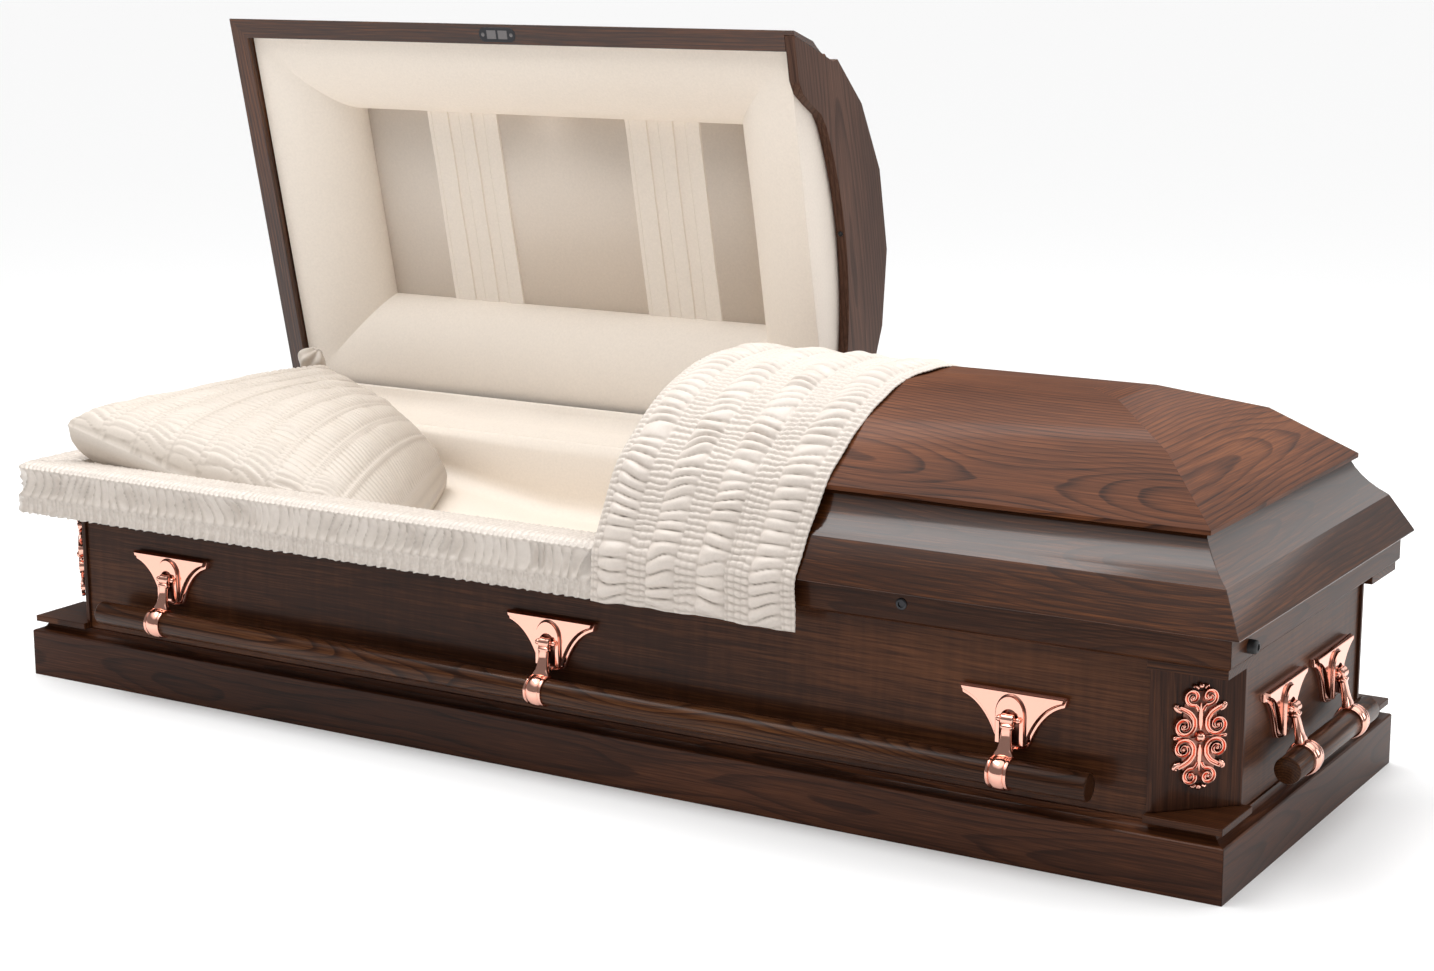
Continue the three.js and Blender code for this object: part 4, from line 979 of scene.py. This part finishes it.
def gathers(along, across, puffs, pitch, height, seed=0, uneven=1.0, flat=0.55, ribbed=0.06):
    """Height of the cloth, and how open each spot is, from 0 in a crease to 1; the openness sets the
    painted shade in the creases. along runs with the stitching and across from row to row. puffs
    lists the (start, end) of each wide puff, and what is between them is ribbed."""
    wander = value_noise(along * 28, across * 22, seed + 1) * 1.3
    wander += value_noise(along * 9, across * 7, seed + 2) * 1.2
    wander *= uneven
    result = np.zeros_like(along)
    openness = np.zeros_like(along)
    inside = np.zeros_like(along)
    for k, (low, high) in enumerate(puffs):
        t = (across - low) / (high - low)
        mask = (t > 0) & (t < 1)
        t = np.clip(t, 0, 1)
        slant = 1.1 * uneven * np.sin(pi * (t - 0.5)) * value_noise(along * 11, 0 * along + k * 3.1, seed + 5)
        phase = along / pitch * pi + wander + slant + 2.2 * k
        ridge = np.abs(np.cos(phase)) ** 0.5
        size = 0.70 + 0.30 * uneven * value_noise(along * 31, across * 5 + k, seed + 9)
        dome = np.sin(pi * t) ** flat
        result = np.where(mask, height * dome * (0.18 + 0.82 * ridge * size), result)
        openness = np.where(mask, ridge * (0.4 + 0.6 * dome), openness)
        inside = np.where(mask, 1.0, inside)
    jitter = wander * 0.8 + 0.6 * value_noise(along * 60, across * 90, seed)
    ribs = np.abs(np.cos(along / (pitch * 0.55) * pi + jitter))
    stitch = np.abs(np.cos(across / 0.0115 * pi)) ** 0.7
    band = ribs ** 1.2 * (0.25 + 0.75 * stitch)
    result = np.where(inside > 0, result, height * (ribbed + 0.30 * band))
    openness = np.where(inside > 0, openness, 0.25 + 0.6 * band)
    return result, openness


def left_of(path):
    """Unit normals on the left of a flat path."""
    step = np.gradient(path, axis=0)
    step /= np.linalg.norm(step, axis=1)[:, None]
    return np.column_stack([-step[:, 1], step[:, 0]])


def even_path(corners, radius, spacing):
    """A polyline with its bends rounded, as evenly spaced points."""
    points = [np.array(corners[0], float)]
    for i in range(1, len(corners) - 1):
        before, here, after = (np.array(c, float) for c in corners[i - 1:i + 2])
        back = (before - here) / np.linalg.norm(before - here)
        on = (after - here) / np.linalg.norm(after - here)
        shorter = min(np.linalg.norm(before - here), np.linalg.norm(after - here))
        reach = min(radius[i - 1], 0.45 * shorter)
        for t in np.linspace(0, 1, 9):
            points.append(here + reach * ((1 - t) ** 2 * back + t * t * on))
    points.append(np.array(corners[-1], float))
    points = np.array(points)
    lengths = np.concatenate([[0], np.cumsum(np.linalg.norm(np.diff(points, axis=0), axis=1))])
    wanted = np.arange(0, lengths[-1] + spacing * 0.5, spacing)
    return np.column_stack([np.interp(wanted, lengths, points[:, k]) for k in range(2)]), wanted


def cloth_piece(name, grid, openness, material, body, replaced, thickness=0.0012):
    piece = finish(name, open_sheet(grid, openness), material, body, replaced)
    solid = piece.modifiers.new("cloth", "SOLIDIFY")
    solid.thickness = thickness
    solid.offset = -1
    return piece


throw_corners = [
    (-0.3690, 0.2845), (-0.3665, 0.350), (-0.3645, 0.3600), (-0.3345, 0.4155), (-0.2965, 0.4800),
    (-0.1935, 0.5540), (-0.070, 0.5945), (0.070, 0.5945), (0.1935, 0.5540), (0.214, 0.5390),
]
throw_path, throw_along = even_path(throw_corners, (0.01, 0.008, 0.03, 0.03, 0.05, 0.06, 0.06, 0.03), 0.0021)
throw_side = left_of(throw_path)
columns = 124
throw_length = throw_along[-1]
share = np.linspace(0, 1, columns)
S, W = np.meshgrid(throw_along, share, indexing="ij")
left = 0.0960 + 0.0010 * value_noise(S * 16, W * 0, 21)
right = 0.4300 + 0.0180 * np.clip(S / 0.5, 0, 1) ** 0.8 + 0.0030 * value_noise(S * 15, W * 0, 22)
X = left + (right - left) * W
across = W * 0.345
THROW_PUFFS = ((0.012, 0.064), (0.096, 0.148), (0.181, 0.231), (0.270, 0.324))
lift, throw_open = gathers(S, across, THROW_PUFFS, 0.0180, 0.0140, 1, 1.15)
hem = np.clip(S / 0.012, 0, 1) * np.clip((throw_length - S) / 0.012, 0, 1)
edge = np.clip(np.minimum(across, 0.345 - across) / 0.006, 0, 1)
lift = 0.0016 + lift * (0.25 + 0.75 * hem) * (0.25 + 0.75 * edge)
throw_grid = np.empty((*S.shape, 3))
sag = 0.0014 * value_noise(S * 30, W * 9, 31) * np.clip(W / 0.1, 0, 1)
throw_grid[:, :, 0] = X + sag
throw_grid[:, :, 1] = throw_path[:, 0][:, None] + throw_side[:, 0][:, None] * lift
throw_grid[:, :, 2] = throw_path[:, 1][:, None] + throw_side[:, 1][:, None] * lift
droop = np.clip(1 - S / 0.03, 0, 1) * (0.0022 * value_noise(W * 13, S * 0, 33))
throw_grid[:, :, 2] += droop
throw_piece = cloth_piece("throw_cloth", throw_grid[:, ::-1], throw_open[:, ::-1], throw_satin, "foot_lid",
                          ["throw"])

# Overlay.
# A band of the same gathered satin with one row of puffs. It lies over the front rim and the head
# end, and hangs outside as a short skirt.
overlay_satin = cloth("overlay_satin", (0.68, 0.612, 0.55), 0.38, sheen=0.1, weave=0.1, folds=0.34)
overlay_corners = [
    (-0.0680, 0.3340), (-0.0700, 0.3520), (-0.0640, 0.3630), (-0.0060, 0.3660), (0.0115, 0.3610),
    (0.0160, 0.3500), (0.0165, 0.3180), (0.0160, 0.3000), (0.0170, 0.2830),
]
cut_path, cut_along = even_path(overlay_corners, (0.006, 0.008, 0.012, 0.008, 0.01, 0.004, 0.004), 0.0026)
cut_path = cut_path[::-1]
cut_along = cut_along[-1] - cut_along[::-1]
cut_normal = left_of(cut_path)
corner_round = 0.012
front_run = 0.0935 + (BASE_HALF_X - corner_round)
turn_run = corner_round * pi / 2
end_run = 0.30 + (BASE_HALF_Y - corner_round)
spacing = 0.0028
stations = np.arange(0, front_run + turn_run + end_run, spacing)
plan, plan_out = [], []
for s in stations:
    if s < front_run:
        plan.append((0.0935 - s, -BASE_HALF_Y))
        plan_out.append((0, -1))
    elif s < front_run + turn_run:
        a = (s - front_run) / corner_round
        plan.append((-(BASE_HALF_X - corner_round) - corner_round * sin(a),
                     -(BASE_HALF_Y - corner_round) - corner_round * cos(a)))
        plan_out.append((-sin(a), -cos(a)))
    else:
        plan.append((-BASE_HALF_X, -(BASE_HALF_Y - corner_round) + (s - front_run - turn_run)))
        plan_out.append((-1, 0))
plan, plan_out = np.array(plan), np.array(plan_out)
S, T = np.meshgrid(stations, cut_along, indexing="ij")
whole = cut_along[-1]
OVERLAY_PUFFS = ((0.028, 0.075),)
lift, overlay_open = gathers(S, T, OVERLAY_PUFFS, 0.0175, 0.0165, 4, 1.3, 0.45)
frill = np.clip(1 - T / 0.030, 0, 1)
ruffle = 0.0026 * np.sin(S / 0.023 * 2 * pi + 1.4 * value_noise(S * 14, T * 3, 41)) * frill ** 1.2
top_calm = np.clip((T - 0.080) / 0.012, 0, 1)
lift = lift * (1 - 0.25 * top_calm) + ruffle
lift = lift * np.clip((whole - T) / 0.02, 0.1, 1)
outset = np.clip(cut_path[:, 0][None, :] + cut_normal[:, 0][None, :] * lift, -0.075, 0.0205)
level = cut_path[:, 1][None, :] + cut_normal[:, 1][None, :] * lift
inward = np.clip(-outset, 0, None)
overlay_x = plan[:, 0][:, None] + plan_out[:, 0][:, None] * outset
overlay_y = plan[:, 1][:, None] + plan_out[:, 1][:, None] * outset
on_front = S < front_run
on_end = S >= front_run + turn_run
in_turn = ~(on_front | on_end) & (inward > corner_round)
inner_x, inner_y = inward - BASE_HALF_X, inward - BASE_HALF_Y
overlay_x = np.where(on_front, np.maximum(overlay_x, inner_x), overlay_x)
overlay_y = np.where(on_end, np.maximum(overlay_y, inner_y), overlay_y)
overlay_x = np.where(in_turn, inner_x, overlay_x)
overlay_y = np.where(in_turn, inner_y, overlay_y)
hem_phase = S / 0.0165 * 2 * pi + 2 * value_noise(S * 20, T * 0, 43)
level += np.clip(1 - T / 0.02, 0, 1) * 0.0010 * np.sin(hem_phase)
overlay_grid = np.stack([overlay_x, overlay_y, level], axis=2)
overlay_piece = cloth_piece("overlay_cloth", overlay_grid, overlay_open, overlay_satin, "casket", ["overlay"])
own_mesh(overlay_piece)

# Pillow.
# A broad flat cushion covered in the same gathered satin, leaning on the rise of the bed, with one
# corner of its cover tied in a tuft.
# The same satin as the throw, given a darker colour here as painted shade.
pillow_satin = cloth("pillow_satin", (0.61, 0.54, 0.47), 0.5, sheen=0.1, weave=0.1, folds=0.36)
HEAD_FRONT, HEAD_BACK = np.array([-1.006, -0.292, 0.422]), np.array([-0.912, 0.280, 0.430])
FOOT_FRONT, FOOT_BACK = np.array([-0.375, -0.268, 0.257]), np.array([-0.615, 0.230, 0.285])
count_u, count_v = 150, 270
U, V = np.meshgrid(np.linspace(0, 1, count_u), np.linspace(0, 1, count_v), indexing="ij")
middle_sheet = (
    HEAD_FRONT * ((1 - U) * (1 - V))[..., None] + HEAD_BACK * ((1 - U) * V)[..., None]
    + FOOT_FRONT * (U * (1 - V))[..., None] + FOOT_BACK * (U * V)[..., None]
)
bow = np.sin(pi * V) ** 0.8 * 0.012
middle_sheet[:, :, 0] += np.where(U > 0.5, 1, 0.2) * bow * (np.abs(U - 0.5) * 2)
plump = np.sin(pi * U ** 1.5).clip(0, 1) ** 0.8 * np.sin(pi * V).clip(0, 1) ** 0.6
from_edge = np.minimum(np.minimum(U * 0.58, (1 - U) * 0.34), np.minimum(V, 1 - V) * 0.56)
corner_soft = 1 - 0.3 * (np.abs(2 * U - 1) * np.abs(2 * V - 1)) ** 6
edge_round = np.sqrt(1 - (1 - np.clip(from_edge / 0.075, 0, 1)) ** 2) * corner_soft
under_round = np.sqrt(1 - (1 - np.clip(from_edge / 0.035, 0, 1)) ** 2)
PILLOW_PUFFS = tuple((0.012 + 0.064 * k, 0.012 + 0.064 * k + 0.052) for k in range(9))
along_pillow = V * 0.57
across_pillow = U * 0.60
relief, pillow_open = gathers(along_pillow, across_pillow, PILLOW_PUFFS, 0.0125, 0.0084, 12, 1.2, 0.3, 0.38)
rim_fade = np.clip(np.minimum(np.minimum(U, 1 - U), np.minimum(V, 1 - V)) / 0.04, 0, 1)
upper = middle_sheet.copy()
upper[:, :, 2] += 0.036 * edge_round + 0.066 * plump + relief * rim_fade
lower = middle_sheet.copy()
lower[:, :, 2] -= 0.058 * under_round + 0.030 * plump
floor_level = bed_level(lower[:, :, 0]) + 0.013
lower[:, :, 2] = np.maximum(lower[:, :, 2], floor_level)
upper[:, :, 2] = np.maximum(upper[:, :, 2], floor_level + 0.010)
at_seam = np.minimum(np.minimum(U, 1 - U), np.minimum(V, 1 - V)) == 0
lower[at_seam] = upper[at_seam]
tuft = []
for i in range(29):
    t = i / 28
    radius = 0.011 + 0.015 * sin(pi * min(1, t * 1.05)) ** 0.8
    fold = []
    for a in np.arange(40) * pi / 20:
        r = radius * (1 + 0.26 * sin(3 * a + 2 * t) + 0.14 * sin(7 * a - 3 * t))
        fold.append((r * cos(a) * 0.8, r * sin(a), 0.044 * t))
    tuft.append(fold)
tie = (
    Matrix.Translation((-0.950, 0.255, 0.440)) @ Matrix.Rotation(radians(24), 4, "Y")
    @ Matrix.Rotation(radians(-20), 4, "X")
)
cushion = bmesh.new()
loft(cushion, tuft, tie)
# The tuft is marked fully open, so no painted shade is put in its creases.
folds = cushion.verts.layers.float.new("crease_shade_openness")
for vert in cushion.verts:
    vert[folds] = 1
join(cushion, open_sheet(upper, pillow_open))
hems = [edge for edge in cushion.edges if edge.is_boundary]
join(cushion, open_sheet(lower))
cushion.verts.index_update()
cushion.verts.ensure_lookup_table()
for hem in hems:
    here, there = hem.verts
    under = [cushion.verts[vert.index + U.size] for vert in (there, here)]
    cushion.faces.new((here, there, *under))
bmesh.ops.recalc_face_normals(cushion, faces=cushion.faces)
pillow_piece = finish("pillow_cushion", cushion, pillow_satin, "casket", ["pillow"])
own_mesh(pillow_piece)
